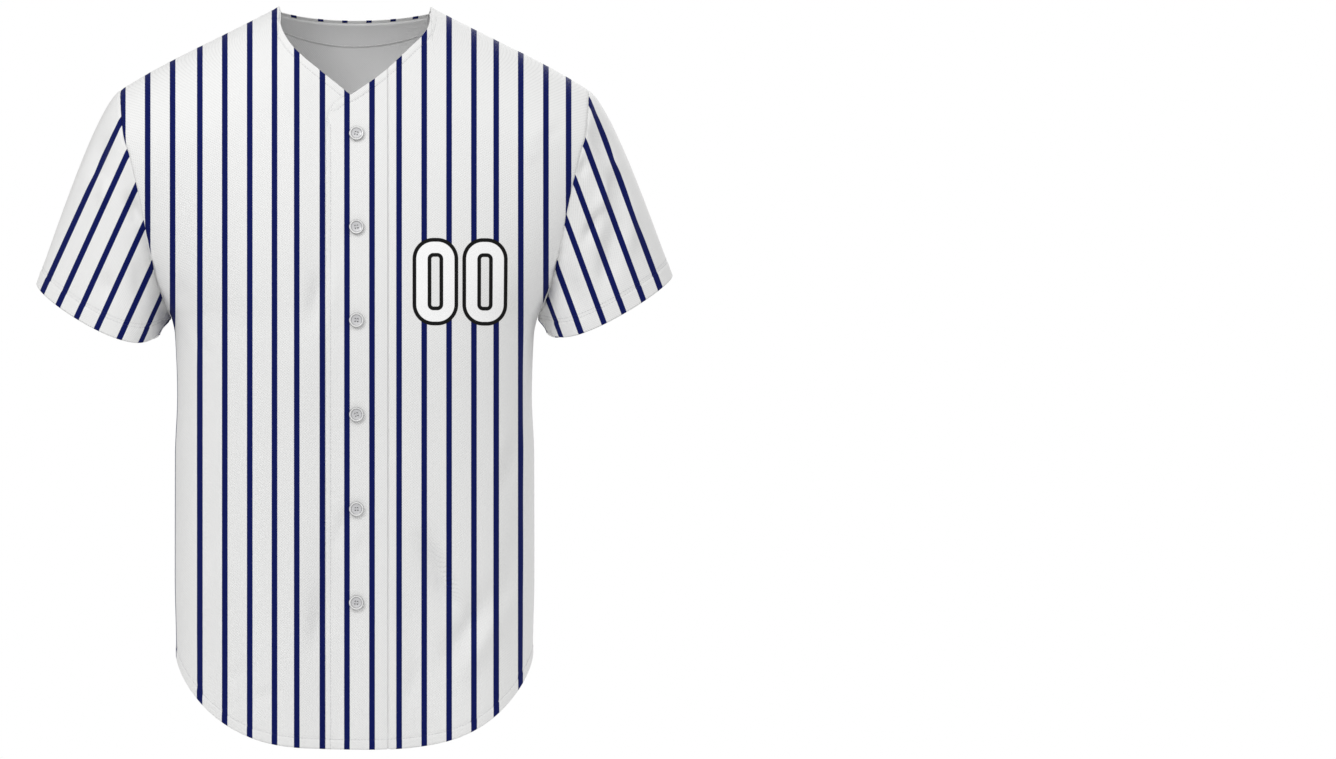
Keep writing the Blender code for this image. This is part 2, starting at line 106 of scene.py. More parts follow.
LAP_CORNER = [
    Edge(-28.9, -128.5),
    Edge(-26.1, -114.2),
    Edge(-14.8, -100.6),
    Edge(-3.6, -96.5),
]
NAPE_Z = -5.0 * MM
NECK_RIDGE_Z = 3.0 * MM
PLACKET_EDGE_X = -28.9 * MM
PLACKET_SEAM_X = 34.2 * MM
UNDER_EDGE_X = 28.9 * MM
LAP_START_X = 60.0 * MM
LAP_FULL_X = 38.0 * MM
LAP_SUNK = 2.3 * MM
STRIP_X = 60.0 * MM
HEM_SIDE_Z = -673.0 * MM
HEM_FRONT_Z = -765.0 * MM
HEM_BACK_Z = -768.0 * MM
HEM_POWER = 3.2
HEM_ROUND = 0.72
HEM_WAVE = 3.0 * MM
HEM_WAVE_FROM = -480.0 * MM
HEM_WAVES = 3.5
SEAM_GAP = 0.4 * MM
THREAD_LIFT = 0.10 * MM
KNIT_RADIUS = 150.0 * MM
KNIT_SQUASH = 1.3
NAPE_TURN = 3.2 * MM

# Folds: middle, direction from upright, half length, half width and height in millimetres
Fold = namedtuple("Fold", "x height lean half_length half_width depth")
FRONT_FOLDS = [
    Fold(-50, -300, 8, 75, 16, -3.0),
    Fold(-38, -620, 4, 80, 18, -3.0),
    Fold(-165, -330, -28, 45, 14, 3.0),
    Fold(90, -590, -22, 75, 20, -5.0),
    Fold(135, -640, 24, 80, 20, 4.0),
    Fold(168, -470, 14, 70, 16, -3.5),
    Fold(196, -135, 58, 40, 15, 3.0),
    Fold(-150, -610, 20, 70, 20, 3.0),
]
BACK_FOLDS = [
    Fold(110, -310, 10, 110, 18, -4.0),
    Fold(118, -500, 12, 100, 18, -4.0),
    Fold(140, -600, 8, 40, 16, 3.0),
    Fold(-125, -330, -8, 70, 18, -4.0),
    Fold(-140, -560, -4, 130, 20, -4.5),
    Fold(30, -660, -4, 70, 22, 3.0),
]
FRONT_CREASES = [
    Fold(-40, -305, 9, 42, 8, -1.8),
    Fold(-22, -300, 7, 50, 9, 1.0),
    Fold(-38, -636, 5, 48, 9, -1.6),
    Fold(-14, -541, 12, 36, 6, -1.1),
    Fold(6, -561, 10, 20, 5, -0.9),
    Fold(-178, -300, -12, 24, 8, -2.2),
    Fold(-172, -342, -36, 22, 6, 1.8),
    Fold(-158, -352, -40, 26, 6, -1.2),
    Fold(199, -140, 44, 34, 7, -1.5),
    Fold(190, -150, 47, 30, 6, 0.9),
    Fold(162, -471, 15, 42, 8, -2.0),
    Fold(150, -466, 16, 40, 8, 1.1),
    Fold(86, -587, -24, 60, 10, -3.4),
    Fold(104, -592, -26, 52, 9, 2.0),
    Fold(118, -640, 34, 76, 12, -3.6),
    Fold(138, -652, 34, 70, 11, 3.0),
    Fold(60, -640, -14, 70, 14, -1.8),
    Fold(160, -590, 12, 80, 12, -3.0),
    Fold(126, -660, 22, 95, 38, -2.6),
    Fold(-120, -690, 62, 34, 7, -1.0),
    Fold(-95, -712, 70, 34, 7, -0.9),
    Fold(60, -700, 12, 36, 9, -1.3),
    Fold(-172, -520, 5, 90, 9, 1.6),
]
BACK_CREASES = [
    Fold(136, -312, 12, 90, 8, -1.8),
    Fold(122, -505, 12, 70, 8, -1.6),
    Fold(160, -610, 24, 26, 6, -1.4),
    Fold(-131, -336, -15, 56, 8, -1.8),
    Fold(-138, -560, -6, 120, 12, -2.0),
    Fold(-110, -640, -20, 50, 9, 1.2),
    Fold(180, -90, 50, 22, 6, -1.2),
    Fold(-175, -95, -50, 22, 6, -1.0),
    Fold(60, -650, 9, 50, 10, -1.4),
    Fold(-30, -610, -8, 60, 10, -1.2),
]
SLEEVE_SLACK = 2.8
BODY_SLACK = 2.3
SLEEVE_FOLDS = {
    "sleeve_right": [
        Fold(-266, -158, 17, 34, 9, -2.0),
        Fold(-258, -196, 2, 22, 7, 1.4),
        Fold(-229, -212, -19, 24, 7, -2.4),
        Fold(-257, -292, -7, 22, 8, -1.5),
        Fold(-222, -290, -10, 34, 9, -1.6),
    ],
    "sleeve_left": [
        Fold(258, -144, -27, 32, 9, -2.6),
        Fold(272, -192, -5, 30, 9, -3.0),
        Fold(264, -259, 12, 50, 10, -3.0),
        Fold(246, -229, 26, 30, 6, -2.2),
        Fold(236, -170, 18, 14, 5, -1.4),
        Fold(255, -205, 20, 34, 7, 1.8),
        Fold(285, -235, 10, 40, 9, 1.4),
        Fold(228, -300, -14, 34, 9, -1.6),
    ],
}

# Sleeves
Sleeve = namedtuple("Sleeve", "side outer_x outer_z inner_x inner_z front_dip back_dip half_depth")
SLEEVES = {
    "sleeve_right": Sleeve(-1, 333.4, -286.7, 204.0, -338.5, 21.5, 15.0, 70.0),
    "sleeve_left": Sleeve(1, 333.4, -278.5, 201.5, -337.0, 16.5, 15.0, 70.0),
}
CUFF_SKEW = 0.19
CUFF_ROUND = 1.35
SLEEVE_LEAN = 20.0
SLEEVE_FULLNESS = 0.36
SLEEVE_END_PULL = 0.90

# Neck facing
FACING_HALF = 78.0 * MM
FACING_ROOM = 0.05 * MM
FACING_TOP = 3.0 * MM
FACING_DEPTH = 24.0 * MM
FACING_RISE = 9.0 * MM

# Middles of the pinstripes in millimetres, from the viewer's left to right and in the plane of the
# outline as the camera sees it, and in the plane of a sleeve from its outer edge inwards
FRONT_STRIPES = (
    -243.3, -217.2, -191.0, -162.4, -136.2, -110.0, -84.0, -60.6, -33.7, -7.9,
    18.4, 46.8, 73.2, 99.3, 125.4, 148.8, 174.6, 201.0, 224.8, 250.0,
)  # fmt: skip
BACK_STRIPES = (
    -245.0, -219.5, -193.2, -167.0, -143.6, -117.4, -91.1, -65.4, -36.8, -10.5,
    15.8, 42.0, 65.8, 91.7, 117.9, 144.2, 172.7, 201.0, 224.7, 250.0,
)  # fmt: skip
FRONT_SIDES = (3, 16)  # the outermost stripes that show below the arms
BACK_SIDES = (3, 16)
SIDE_PITCH = 26.0 * MM
FRONT_SIDE_GAPS = (24.0, 13.0)  # from the side seams to the next stripes, in millimetres
BACK_SIDE_GAPS = (13.0, 13.0)
SleeveStripes = namedtuple("SleeveStripes", "lean places")
SLEEVE_STRIPES = {
    "sleeve_right": SleeveStripes(24.5, (175.4, 154.4, 131.5, 107.5, 81.7, 59.3)),
    "sleeve_left": SleeveStripes(20.3, (199.3, 178.6, 154.9, 131.6, 105.6, 84.0)),
}
TOP_STRIPE_BEHIND = 0.2  # share of the way from the sleeve's top to the first stripe seen
UNDERARM_PITCH = 46.0 * MM
VIEW_DISTANCE = 4.2
VIEW_Z = -388.5 * MM

# Buttons
BUTTON_X = 2.0 * MM
BUTTON_HEIGHTS = (-136.5, -232.5, -327.5, -423.5, -520.0, -615.5)

# Stage
Lamp = namedtuple("Lamp", "name place target size power")
LAMPS = (
    Lamp("key", (-1.3, -1.7, 1.0), (0, 0, -0.30), 0.7, 11.2),
    Lamp("near", (-0.5, -1.3, 0.7), (0, 0, -0.15), 0.9, 5.2),
    Lamp("high", (0.2, -1.7, 1.5), (0, 0, -0.2), 1.2, 6.2),
    Lamp("right", (1.9, -1.0, 0.6), (0.1, 0, -0.3), 1.2, 8.4),
    Lamp("left", (-1.9, -1.0, -0.1), (-0.1, 0, -0.4), 1.2, 3.4),
    Lamp("back", (0.9, 2.0, 0.9), (0, 0, -0.3), 1.4, 26.0),
)

# Width, length and area of a piece's cut, in metres
Cut = namedtuple("Cut", "width length area")


def smooth(table, at, key, value):
    """Values at places of a table, on a curve through its rows that never overshoots."""
    xs = np.array([getattr(row, key) for row in table], float)
    ys = np.array([getattr(row, value) for row in table], float)
    steps = np.diff(ys) / np.diff(xs)
    slopes = np.empty(len(xs))
    slopes[0], slopes[-1] = steps[0], steps[-1]
    both = steps[1:] * steps[:-1]
    total = np.where(both > 0, steps[1:] + steps[:-1], 1.0)
    slopes[1:-1] = np.where(both > 0, 2 * both / total, 0.0)
    at = np.clip(at, xs[0], xs[-1])
    i = np.clip(np.searchsorted(xs, at, side="right") - 1, 0, len(steps) - 1)
    width = xs[i + 1] - xs[i]
    t = (at - xs[i]) / width
    start = (1 + 2 * t) * (1 - t) ** 2 * ys[i] + t * (1 - t) ** 2 * width * slopes[i]
    return start + t * t * (3 - 2 * t) * ys[i + 1] + t * t * (t - 1) * width * slopes[i + 1]


def ease(t):
    t = np.clip(t, 0.0, 1.0)
    return t * t * (3 - 2 * t)


def half_width(z):
    return smooth(BODY, z / MM, "height", "half_width") * MM


def section_half_width(z):
    z = np.minimum(z, SHOULDER_Z)
    share = smooth(BODY, z / MM, "height", "armhole_share")
    return half_width(z) / (1 - share**SQUARENESS) ** (1 / SQUARENESS)


def ridge(x):
    """Height of the shoulder line, which carries on over the neck opening."""
    x = np.abs(x)
    neck = NECK_LEFT[-1].x * MM
    along = np.clip((x - neck) / (SHOULDER_X - neck), 0.0, 1.0)
    slope = (SHOULDER_Z - NECK_RIDGE_Z) * along + RIDGE_BULGE * np.sin(math.pi * along**2)
    over_neck = NECK_RISE * (1 - (x / neck) ** 2)
    return NECK_RIDGE_Z + np.where(x < neck, over_neck, slope)


def fold_height(folds, x, z):
    """What folds add to the surface, outwards."""
    total = np.zeros(np.broadcast(x, z).shape)
    for fold in folds:
        lean = math.radians(fold.lean)
        dx = x / MM - fold.x
        dz = z / MM - fold.height
        along = dx * math.sin(lean) + dz * math.cos(lean)
        across = dx * math.cos(lean) - dz * math.sin(lean)
        taper = np.cos(0.5 * math.pi * np.clip(along / fold.half_length, -1, 1)) ** 2
        total += fold.depth * MM * taper * np.exp(-((across / fold.half_width) ** 2))
    return total


def surface(x, z, front, creased=True):
    """Points of the outer surface of the body."""
    x, z = np.broadcast_arrays(x, z)
    depth = smooth(BODY, z / MM, "height", "front_depth" if front else "back_depth") * MM
    wave = HEM_WAVE * ease((HEM_WAVE_FROM - z) / (HEM_WAVE_FROM - HEM_FRONT_Z))
    phase = 0.6 if front else 2.1
    depth += wave * np.sin(2 * math.pi * HEM_WAVES * x / (2 * half_width(z)) + phase)
    depth += fold_height(FRONT_FOLDS if front else BACK_FOLDS, x, z)
    if creased:
        depth += BODY_SLACK * fold_height(FRONT_CREASES if front else BACK_CREASES, x, z)
    share = np.minimum(1.0, np.abs(x) / section_half_width(z))
    oval = (1 - share**SQUARENESS) ** (1 / SQUARENESS)
    below = np.clip((ridge(x) - z) / (FRONT_ROLL if front else BACK_ROLL), 0.0, 1.0)
    y = depth * oval * np.sqrt(1 - (1 - below) ** 2)
    return np.stack([x, -y if front else y, z], -1)


def outward(x, z, front):
    step = 1.5 * MM
    along_x = surface(x + step, z, front, False) - surface(x - step, z, front, False)
    along_z = surface(x, z + step, front, False) - surface(x, z - step, front, False)
    normal = np.cross(along_x, along_z) if front else np.cross(along_z, along_x)
    return normal / np.linalg.norm(normal, axis=-1, keepdims=True)


def hem(x, front):
    lowest = HEM_FRONT_Z if front else HEM_BACK_Z
    share = np.minimum(1.0, np.abs(x) / half_width(HEM_SIDE_Z))
    return lowest + (HEM_SIDE_Z - lowest) * (1 - (1 - share**HEM_POWER) ** HEM_ROUND)


def top(x, front):
    """Height of the upper edge: the neckline, then the shoulder seam."""
    heights = []
    for table in (NECK_LEFT, NECK_RIGHT):
        neck = table[-1].x * MM
        if front:
            edge = smooth(table, np.abs(x) / MM, "x", "height") * MM
        else:
            edge = NAPE_Z + (table[-1].height * MM - NAPE_Z) * (x / neck) ** 2
        heights.append(np.where(np.abs(x) >= neck, ridge(x), edge))
    return np.where(x > 0, heights[0], heights[1])


def edge_height(table, x):
    return smooth(table, x / MM, "x", "height") * MM


def row_shares(cell):
    """Shares of the way up of a panel's rows: close at the hem and the top, one at the armpit."""
    armpit = (ARMPIT_Z - HEM_SIDE_Z) / (SHOULDER_Z - HEM_SIDE_Z)
    step = cell / (SHOULDER_Z - HEM_SIDE_Z)
    hem_rows = np.arange(9) * 0.002
    top_rows = 1 - 0.0001 * np.arange(28, -1, -1.0) ** 2
    below = np.linspace(hem_rows[-1] + 0.003, armpit, round((armpit - 0.02) / step))
    above = np.linspace(armpit, top_rows[0], round((top_rows[0] - armpit) / step))
    rows = np.concatenate([hem_rows, below, above[1:-1], top_rows])
    return rows[:, None], len(hem_rows) + len(below) - 1


def half_grid(side, front, inner_x, neck_cells, side_cells, cell):
    """x and z of a half panel's points: rows go up, columns go out to the seam."""
    up, armpit_row = row_shares(cell)
    neck = (NECK_LEFT if side > 0 else NECK_RIGHT)[-1].x * MM
    near = inner_x + (neck - inner_x) * np.sin(0.5 * math.pi * np.arange(neck_cells) / neck_cells)
    away = neck + (SHOULDER_X - neck) * np.linspace(0, 1, side_cells + 1) ** 1.35
    top_x = np.concatenate([near, away])[None, :]
    share = np.linspace(0, 1, top_x.shape[1])[None, :]
    armpit = up[armpit_row]
    power = 2 / SQUARENESS
    hem_x = half_width(HEM_SIDE_Z)
    start = math.asin((inner_x / hem_x) ** (1 / power))
    angle = start + (math.pi / 2 - start) * share
    low = (hem_x * np.sin(angle) ** power - inner_x) / (hem_x - inner_x)
    high = (top_x - inner_x) / (SHOULDER_X - inner_x)
    mix = ease((up - armpit) / (1 - armpit))
    bottom = hem(side * (inner_x + (hem_x - inner_x) * low), front)
    z = bottom + (top(side * top_x, front) - bottom) * up
    edge_x = half_width(z)
    x = inner_x + (edge_x - inner_x) * (low * (1 - mix) + high * mix)
    return side * x, z


def strip_grid(xs, tops, cell):
    """x and z of a strip whose columns run straight up."""
    up, _ = row_shares(cell)
    bottom = hem(xs, True)[None, :]
    z = bottom + (tops[None, :] - bottom) * up
    return np.broadcast_to(xs[None, :], z.shape), z


def grid_normals(points, closed=False):
    """Normals of a grid of points whose rows go up and whose columns go to its left as it is seen."""
    if closed:
        across = np.roll(points, -1, 1) - np.roll(points, 1, 1)
    else:
        across = np.gradient(points, axis=1)
    normal = np.cross(across, np.gradient(points, axis=0))
    return normal / np.maximum(np.linalg.norm(normal, axis=-1, keepdims=True), 1e-12)


def resample(line, step):
    """A line of points at even steps, and each point's distance along it."""
    line = np.asarray(line)
    lengths = np.concatenate([[0], np.cumsum(np.linalg.norm(np.diff(line, axis=0), axis=1))])
    places = np.linspace(0, lengths[-1], max(2, round(lengths[-1] / step)))
    return np.stack([np.interp(places, lengths, line[:, k]) for k in range(3)], -1), places


def from_edge(points, line):
    """Distance of each point from an edge, and where along the edge it is nearest."""
    line, places = resample(line, 1.5 * MM)
    flat = points.reshape(-1, 3)
    distance = np.empty(len(flat))
    along = np.empty(len(flat))
    for start in range(0, len(flat), 4096):
        part = flat[start : start + 4096]
        gaps = np.linalg.norm(part[:, None, :] - line[None, :, :], axis=2)
        nearest = gaps.argmin(1)
        distance[start : start + 4096] = gaps[np.arange(len(part)), nearest]
        along[start : start + 4096] = places[nearest]
    return distance.reshape(points.shape[:-1]), along.reshape(points.shape[:-1])


def pucker(along, pitch):
    return np.sin(2 * math.pi * along / pitch + 1.9 * np.sin(along / 0.031))


def seam_relief(distance, along):
    """Cloth that turns in at a seam, slightly gathered by its thread."""
    relief = -0.75 * MM * np.exp(-((distance / (1.7 * MM)) ** 2))
    return relief + 0.22 * MM * np.exp(-distance / (7 * MM)) * pucker(along, 10.5 * MM)


def hem_relief(distance, along, width):
    """A turned hem: two layers up to the line of stitches, which pulls them in."""
    layer = 0.40 * MM * (1 - ease((distance - width) / (1.4 * MM) + 0.5))
    groove = -0.55 * MM * np.exp(-(((distance - width) / (1.0 * MM)) ** 2))
    gather = 0.20 * MM * np.exp(-((distance - width) ** 2) / (7 * MM) ** 2) * pucker(along, 12 * MM)
    return layer + groove + gather


def with_stripes(points, stripes):
    return np.concatenate([points, stripes], axis=-1)


def contour(points, distance, width):
    """The line at a distance from an edge, one point for each column of the grid that it crosses."""
    line = []
    for column in range(points.shape[1]):
        gap = distance[:, column] - width
        crossings = np.nonzero(gap[:-1] * gap[1:] <= 0)[0]
        if len(crossings) == 0:
            continue
        row = crossings[-1] if distance[-1, column] < distance[0, column] else crossings[0]
        t = gap[row] / (gap[row] - gap[row + 1] + 1e-12)
        line.append(points[row, column] * (1 - t) + points[row + 1, column] * t)
    return np.array(line)


def arc_lengths(points, axis):
    steps = np.linalg.norm(np.diff(points, axis=axis), axis=-1)
    start = np.zeros_like(steps[:, :1] if axis == 1 else steps[:1])
    return np.concatenate([start, np.cumsum(steps, axis=axis)], axis=axis)


def local_pitch(table, number):
    gaps = np.diff(table)
    return gaps[np.clip(np.floor(number).astype(int), 0, len(gaps) - 1)]


def body_stripes(points, front):
    """Each point's place among the pinstripes, and how far apart they are there."""
    table = np.array(FRONT_STRIPES if front else BACK_STRIPES) * MM
    y = points[..., 1] if front else -points[..., 1]
    seen = points[..., 0] * VIEW_DISTANCE / (VIEW_DISTANCE + y)
    number = np.interp(seen, table, np.arange(len(table)))
    pitch = local_pitch(table, number)
    lower = ease((ARMPIT_Z - 2 * MM - points[..., 2]) / (60 * MM))
    arcs = arc_lengths(points, 1)
    sides = FRONT_SIDES if front else BACK_SIDES
    gaps = FRONT_SIDE_GAPS if front else BACK_SIDE_GAPS
    rising = seen[0, -1] > seen[0, 0]
    for row in range(len(points)):
        line = seen[row] if rising else seen[row][::-1]
        arc = arcs[row] if rising else arcs[row][::-1]
        narrowing = foreshortening(seen[row], arcs[row])
        for last, way, gap in zip(sides, (-1, 1), gaps):
            if not line[0] < table[last] < line[-1]:
                continue
            start = np.interp(table[last], line, arc)
            beyond = np.abs(arcs[row] - start)
            outside = (seen[row] - table[last]) * way > 0
            first = max(beyond[outside].max() - gap * MM, SIDE_PITCH)
            steps = np.where(beyond < first, beyond / first, 1 + (beyond - first) / SIDE_PITCH)
            near = 1 + (narrowing - 1) * ease(2 - 4 * steps)
            side_pitch = np.where(beyond < first, first * near, SIDE_PITCH)
            share = np.where(outside, lower[row], 0.0)
            number[row] += share * (last + way * steps - number[row])
            pitch[row] += share * (side_pitch - pitch[row])
    return np.stack([number, pitch], -1)


def foreshortening(seen, arc):
    """How much narrower the cloth looks to the camera along a row than it is."""
    return np.clip(np.abs(np.gradient(seen) / np.maximum(np.gradient(arc), 1e-9)), 0.6, 1.0)


def sleeve_stripes(name, points, half):
    """The same on a sleeve, whose rings go from the underarm seam over the top and back to it."""
    stripes = SLEEVE_STRIPES[name]
    lean = math.radians(stripes.lean)
    y = -np.abs(points[..., 1])
    closer = VIEW_DISTANCE / (VIEW_DISTANCE + y)
    flat_x = np.abs(points[..., 0]) * closer
    flat_z = VIEW_Z + (points[..., 2] - VIEW_Z) * closer
    inward = -(math.cos(lean) * flat_x + math.sin(lean) * flat_z)
    inner_places = tuple(stripes.places[-1] - 23.0 * k for k in (1, 2, 3))
    places = -np.array((stripes.places[0] + 22.0, *stripes.places, *inner_places)) * MM
    number = np.interp(inward, places, np.arange(len(places), dtype=float))
    pitch = local_pitch(places, number)
    front_first = points[len(points) // 2, half // 2, 1] < 0
    for row in range(len(points)):
        for columns in (range(half, -1, -1), range(half, points.shape[1])):
            in_front = (columns[0] > columns[1]) == front_first
            columns = np.array(columns)
            run = points[row, columns]
            arc = np.concatenate([[0], np.cumsum(np.linalg.norm(np.diff(run, axis=0), axis=1))])
            rising = np.maximum.accumulate(number[row, columns])
            first = max(np.interp(1.0, rising, arc), 4 * MM)
            behind = TOP_STRIPE_BEHIND * first
            start = behind if in_front else -behind
            own = np.where(arc < first, (arc + start) / (first + start), rising)
            last = np.interp(6.0, rising, arc) if rising[-1] > 6 else arc[-1] + 1
            own = np.where(arc > last, 6 + (arc - last) / UNDERARM_PITCH, own)
            narrowing = foreshortening(inward[row, columns], arc)
            near = 1 + (narrowing - 1) * ease((own - 0.3) / 0.4)
            wide = np.where(arc < first, (first + start) * near, pitch[row, columns])
            number[row, columns] = own if in_front else -own
            pitch[row, columns] = np.where(arc > last, UNDERARM_PITCH, wide)
    return np.stack([number, pitch], -1)


def shell(name, outer, inner, roll, maps, closed=False, turned=None):
    """A closed piece of cloth: outer and inner grids and a rounded edge between them."""
    rows, columns = outer.shape[:2]
    verts = [outer.reshape(-1, 3), inner.reshape(-1, 3)]
    index = np.arange(rows * columns).reshape(rows, columns)
    offset = rows * columns
    uv_index = np.arange(rows * maps["knit"].shape[1]).reshape(rows, -1)
    if closed:
        index = np.concatenate([index, index[:, :1]], axis=1)

    def quads(grid):
        return np.stack([grid[:-1, :-1], grid[:-1, 1:], grid[1:, 1:], grid[1:, :-1]], -1).reshape(-1, 4)

    faces = [quads(index), quads(index + offset)[:, ::-1]]
    corners = [quads(uv_index), quads(uv_index)[:, ::-1]]
    if closed:
        bottom = [(0, k) for k in range(columns)]
        crest = [(rows - 1, k) for k in range(columns)]
        loops = [(bottom, (1, 0), True), (crest[::-1], (-1, 0), True)]
    else:
        loop = [(0, k) for k in range(columns)] + [(k, columns - 1) for k in range(1, rows)]
        loop += [(rows - 1, k) for k in range(columns - 2, -1, -1)]
        loop += [(k, 0) for k in range(rows - 2, 0, -1)]
        loops = [(loop, None, True)]
    count = 2 * offset
    for loop, inside, _ in loops:
        i = np.array([place[0] for place in loop])
        j = np.array([place[1] for place in loop])
        if inside:
            back = outer[i + inside[0], j]
        else:
            back = outer[np.clip(i, 1, rows - 2), np.clip(j, 1, columns - 2)]
        out = outer[i, j] - back
        wall = outer[i, j] - inner[i, j]
        thick = np.linalg.norm(wall, axis=1, keepdims=True)
        wall /= np.maximum(thick, 1e-12)
        out -= wall * (out * wall).sum(1, keepdims=True)
        out /= np.maximum(np.linalg.norm(out, axis=1, keepdims=True), 1e-12)
        middle = (outer[i, j] + inner[i, j]) / 2 + out * thick * roll[i, j][:, None] / 2
        verts.append(middle)
        rim = count + np.arange(len(loop))
        count += len(loop)
        uv_j = j.copy()
        uv = uv_index[i, uv_j]
        edge = index[i, j]
        following = np.roll(np.arange(len(loop)), -1)
        uv_next = uv[following]
        if closed:
            ends = np.nonzero(np.abs(uv_next - uv) > 1)[0]
            uv, uv_next = uv.copy(), uv_next.copy()
            for end in ends:
                if uv_next[end] < uv[end]:
                    uv_next[end] = uv[end] + 1
                else:
                    uv[end] = uv_next[end] + 1
        for a, b in ((edge, rim), (rim, edge + offset)):
            faces.append(np.stack([b, b[following], a[following], a], -1))
            corners.append(np.stack([uv, uv_next, uv_next, uv], -1))
    faces = np.concatenate(faces)
    corners = np.concatenate(corners)
    mesh = bpy.data.meshes.new(name)
    mesh.from_pydata(np.concatenate(verts).tolist(), [], faces.tolist())
    for label, values in maps.items():
        layer = mesh.uv_layers.new(name=label)
        layer.data.foreach_set("uv", values.reshape(-1, 2)[corners.ravel()].ravel())
    inner_faces = np.zeros(len(faces), int)
    outer_count = quads(index).shape[0]
    inner_faces[outer_count : 2 * outer_count] = 1
    if turned is not None:
        cells = quads(turned.reshape(-1)[index % offset].astype(int)).min(1)
        inner_faces[outer_count : 2 * outer_count] = 1 - cells
    mesh.polygons.foreach_set("material_index", inner_faces)
    mesh.shade_smooth()
    mesh.update()
    piece = bpy.data.objects.new(name, mesh)
    bpy.context.scene.collection.objects.link(piece)
    return piece


def finish_piece(piece, node, materials):
    for look in materials:
        piece.data.materials.append(look)
    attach(piece, "root")
    if node:
        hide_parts(node)


def knit_map(points, closed=False):
    """Distances over the cloth, across and up."""
    if closed:
        points = np.concatenate([points, points[:, :1]], axis=1)
    return np.stack([arc_lengths(points, 1), arc_lengths(points, 0)], -1)


def body_knit(points):
    """The same over the body: level rows of knit right round it."""
    deep = np.abs(points[..., 1])
    round_it = KNIT_RADIUS * np.arctan2(points[..., 0], KNIT_SQUASH * deep)
    return np.stack([round_it, points[..., 2] - 0.6 * deep], -1)


def to_the_left(grids, inside):
    """Grids turned, if need be, so that their normals point away from a point inside."""
    normals = grid_normals(grids[0])
    if ((normals * (grids[0] - inside)).sum()) < 0:
        return [grid[:, ::-1] for grid in grids], True
    return grids, False


PENDING_STITCHES = {}


def add_stitches(line_name, line):
    if len(line) > 3:
        PENDING_STITCHES.setdefault(line_name, []).append(line)


def body_piece(name, x, z, front, seams, hems, sunk=None, roll_off=(), flat=None, shoulder=None):
    """A panel of the body. Seams and hems are given as slices of the grid's edges."""
    cloth = bpy.context.scene.jersey_cloth
    points = surface(x, z, front)
    if sunk is not None:
        points -= sunk[..., None] * outward(x, z, front)
    for rows, columns in roll_off:
        points[rows, columns, 1] += -SEAM_GAP / 2 if front else SEAM_GAP / 2
    roll = np.ones(points.shape[:2])
    for rows, columns in seams:
        roll[rows, columns] = 0.12
    (points, roll), flipped = to_the_left([points, roll], np.array([0, 0, -400 * MM]))
    def edge(rows, columns):
        if flipped:
            return points[:, ::-1][rows, columns]
        return points[rows, columns]

    normals = grid_normals(points)
    relief = np.zeros(points.shape[:2])
    wall = np.full(points.shape[:2], cloth.wall)
    corner = np.ones(points.shape[:2])
    if shoulder:
        corner = ease((from_edge(points, edge(*shoulder))[0] - 2 * MM) / (16 * MM))
    for place in seams:
        share = 0.15 if place is flat else 1.0
        relief += share * seam_relief(*from_edge(points, edge(*place)))
    lines = []
    turned = np.zeros(points.shape[:2], bool)
    for (rows, columns), width, line_names, cloth_turned in hems:
        distance, along = from_edge(points, edge(rows, columns))
        if line_names[0][0] == "stitch_nape":
            turned |= distance < NAPE_TURN
        share = 0.12 if line_names[0][0] == "stitch_nape" else corner
        relief += share * hem_relief(distance, along, width)
        if cloth_turned:
            wall += 0.7 * MM * (1 - ease((distance - width) / (1.5 * MM) + 0.5))
        lines.append((distance, width, line_names, rows))
    outer = points + normals * relief[..., None]
    inner = points + normals * (0.6 * np.minimum(relief, 0) - wall)[..., None]
    maps = {"knit": body_knit(points), "stripes": body_stripes(points, front)}
    lifted = with_stripes(outer + normals * THREAD_LIFT, maps["stripes"])
    lifted = np.concatenate([lifted, corner[..., None]], axis=-1)
    for distance, width, line_names, rows in lines:
        for line_name, at in line_names:
            if isinstance(rows, int):
                line = contour(lifted, distance, at)
            else:
                line = contour(lifted.transpose(1, 0, 2), distance.T, at)
            add_stitches(line_name, line[line[:, -1] > 0.6][:, :-1])
    return shell(name, outer, inner, roll, maps, turned=turned)


def front_grids(side):
    cell = bpy.context.scene.jersey_cloth.cell
    outer = half_grid(side, True, STRIP_X, round(14 * 3.5 * MM / cell), round(64 * 3.5 * MM / cell), cell)
    if side > 0:
        xs = np.linspace(PLACKET_SEAM_X + SEAM_GAP / 2, STRIP_X, 9)[:-1]
        inner = strip_grid(xs, top(xs, True), cell)
    else:
        xs = np.linspace(UNDER_EDGE_X, -STRIP_X, 30)[:-1]
        foot = -LAP_CORNER[-1].x * MM
        tops = np.where(xs > foot, edge_height(LAP_CORNER, -xs), top(xs, True))
        inner = strip_grid(xs, tops, cell)
    x = np.concatenate([inner[0], outer[0]], axis=1)
    z = np.concatenate([inner[1], outer[1]], axis=1)
    neck_column = inner[0].shape[1] + round(14 * 3.5 * MM / cell)
    return x, z, neck_column


def facing_points():
    """The facing's outer side, which lies against the back."""
    xs = FACING_HALF * np.sin(0.5 * math.pi * np.linspace(-1, 1, 49))[None, :]
    down = np.linspace(1, 0, 12)[:, None]
    z = top(xs, False) - FACING_TOP - (FACING_DEPTH - FACING_RISE * (xs / FACING_HALF) ** 2) * down
    x = np.broadcast_to(xs, z.shape)
    sunk = 0.9 * MM + FACING_ROOM
    return surface(x, z, False) - sunk * outward(x, z, False)


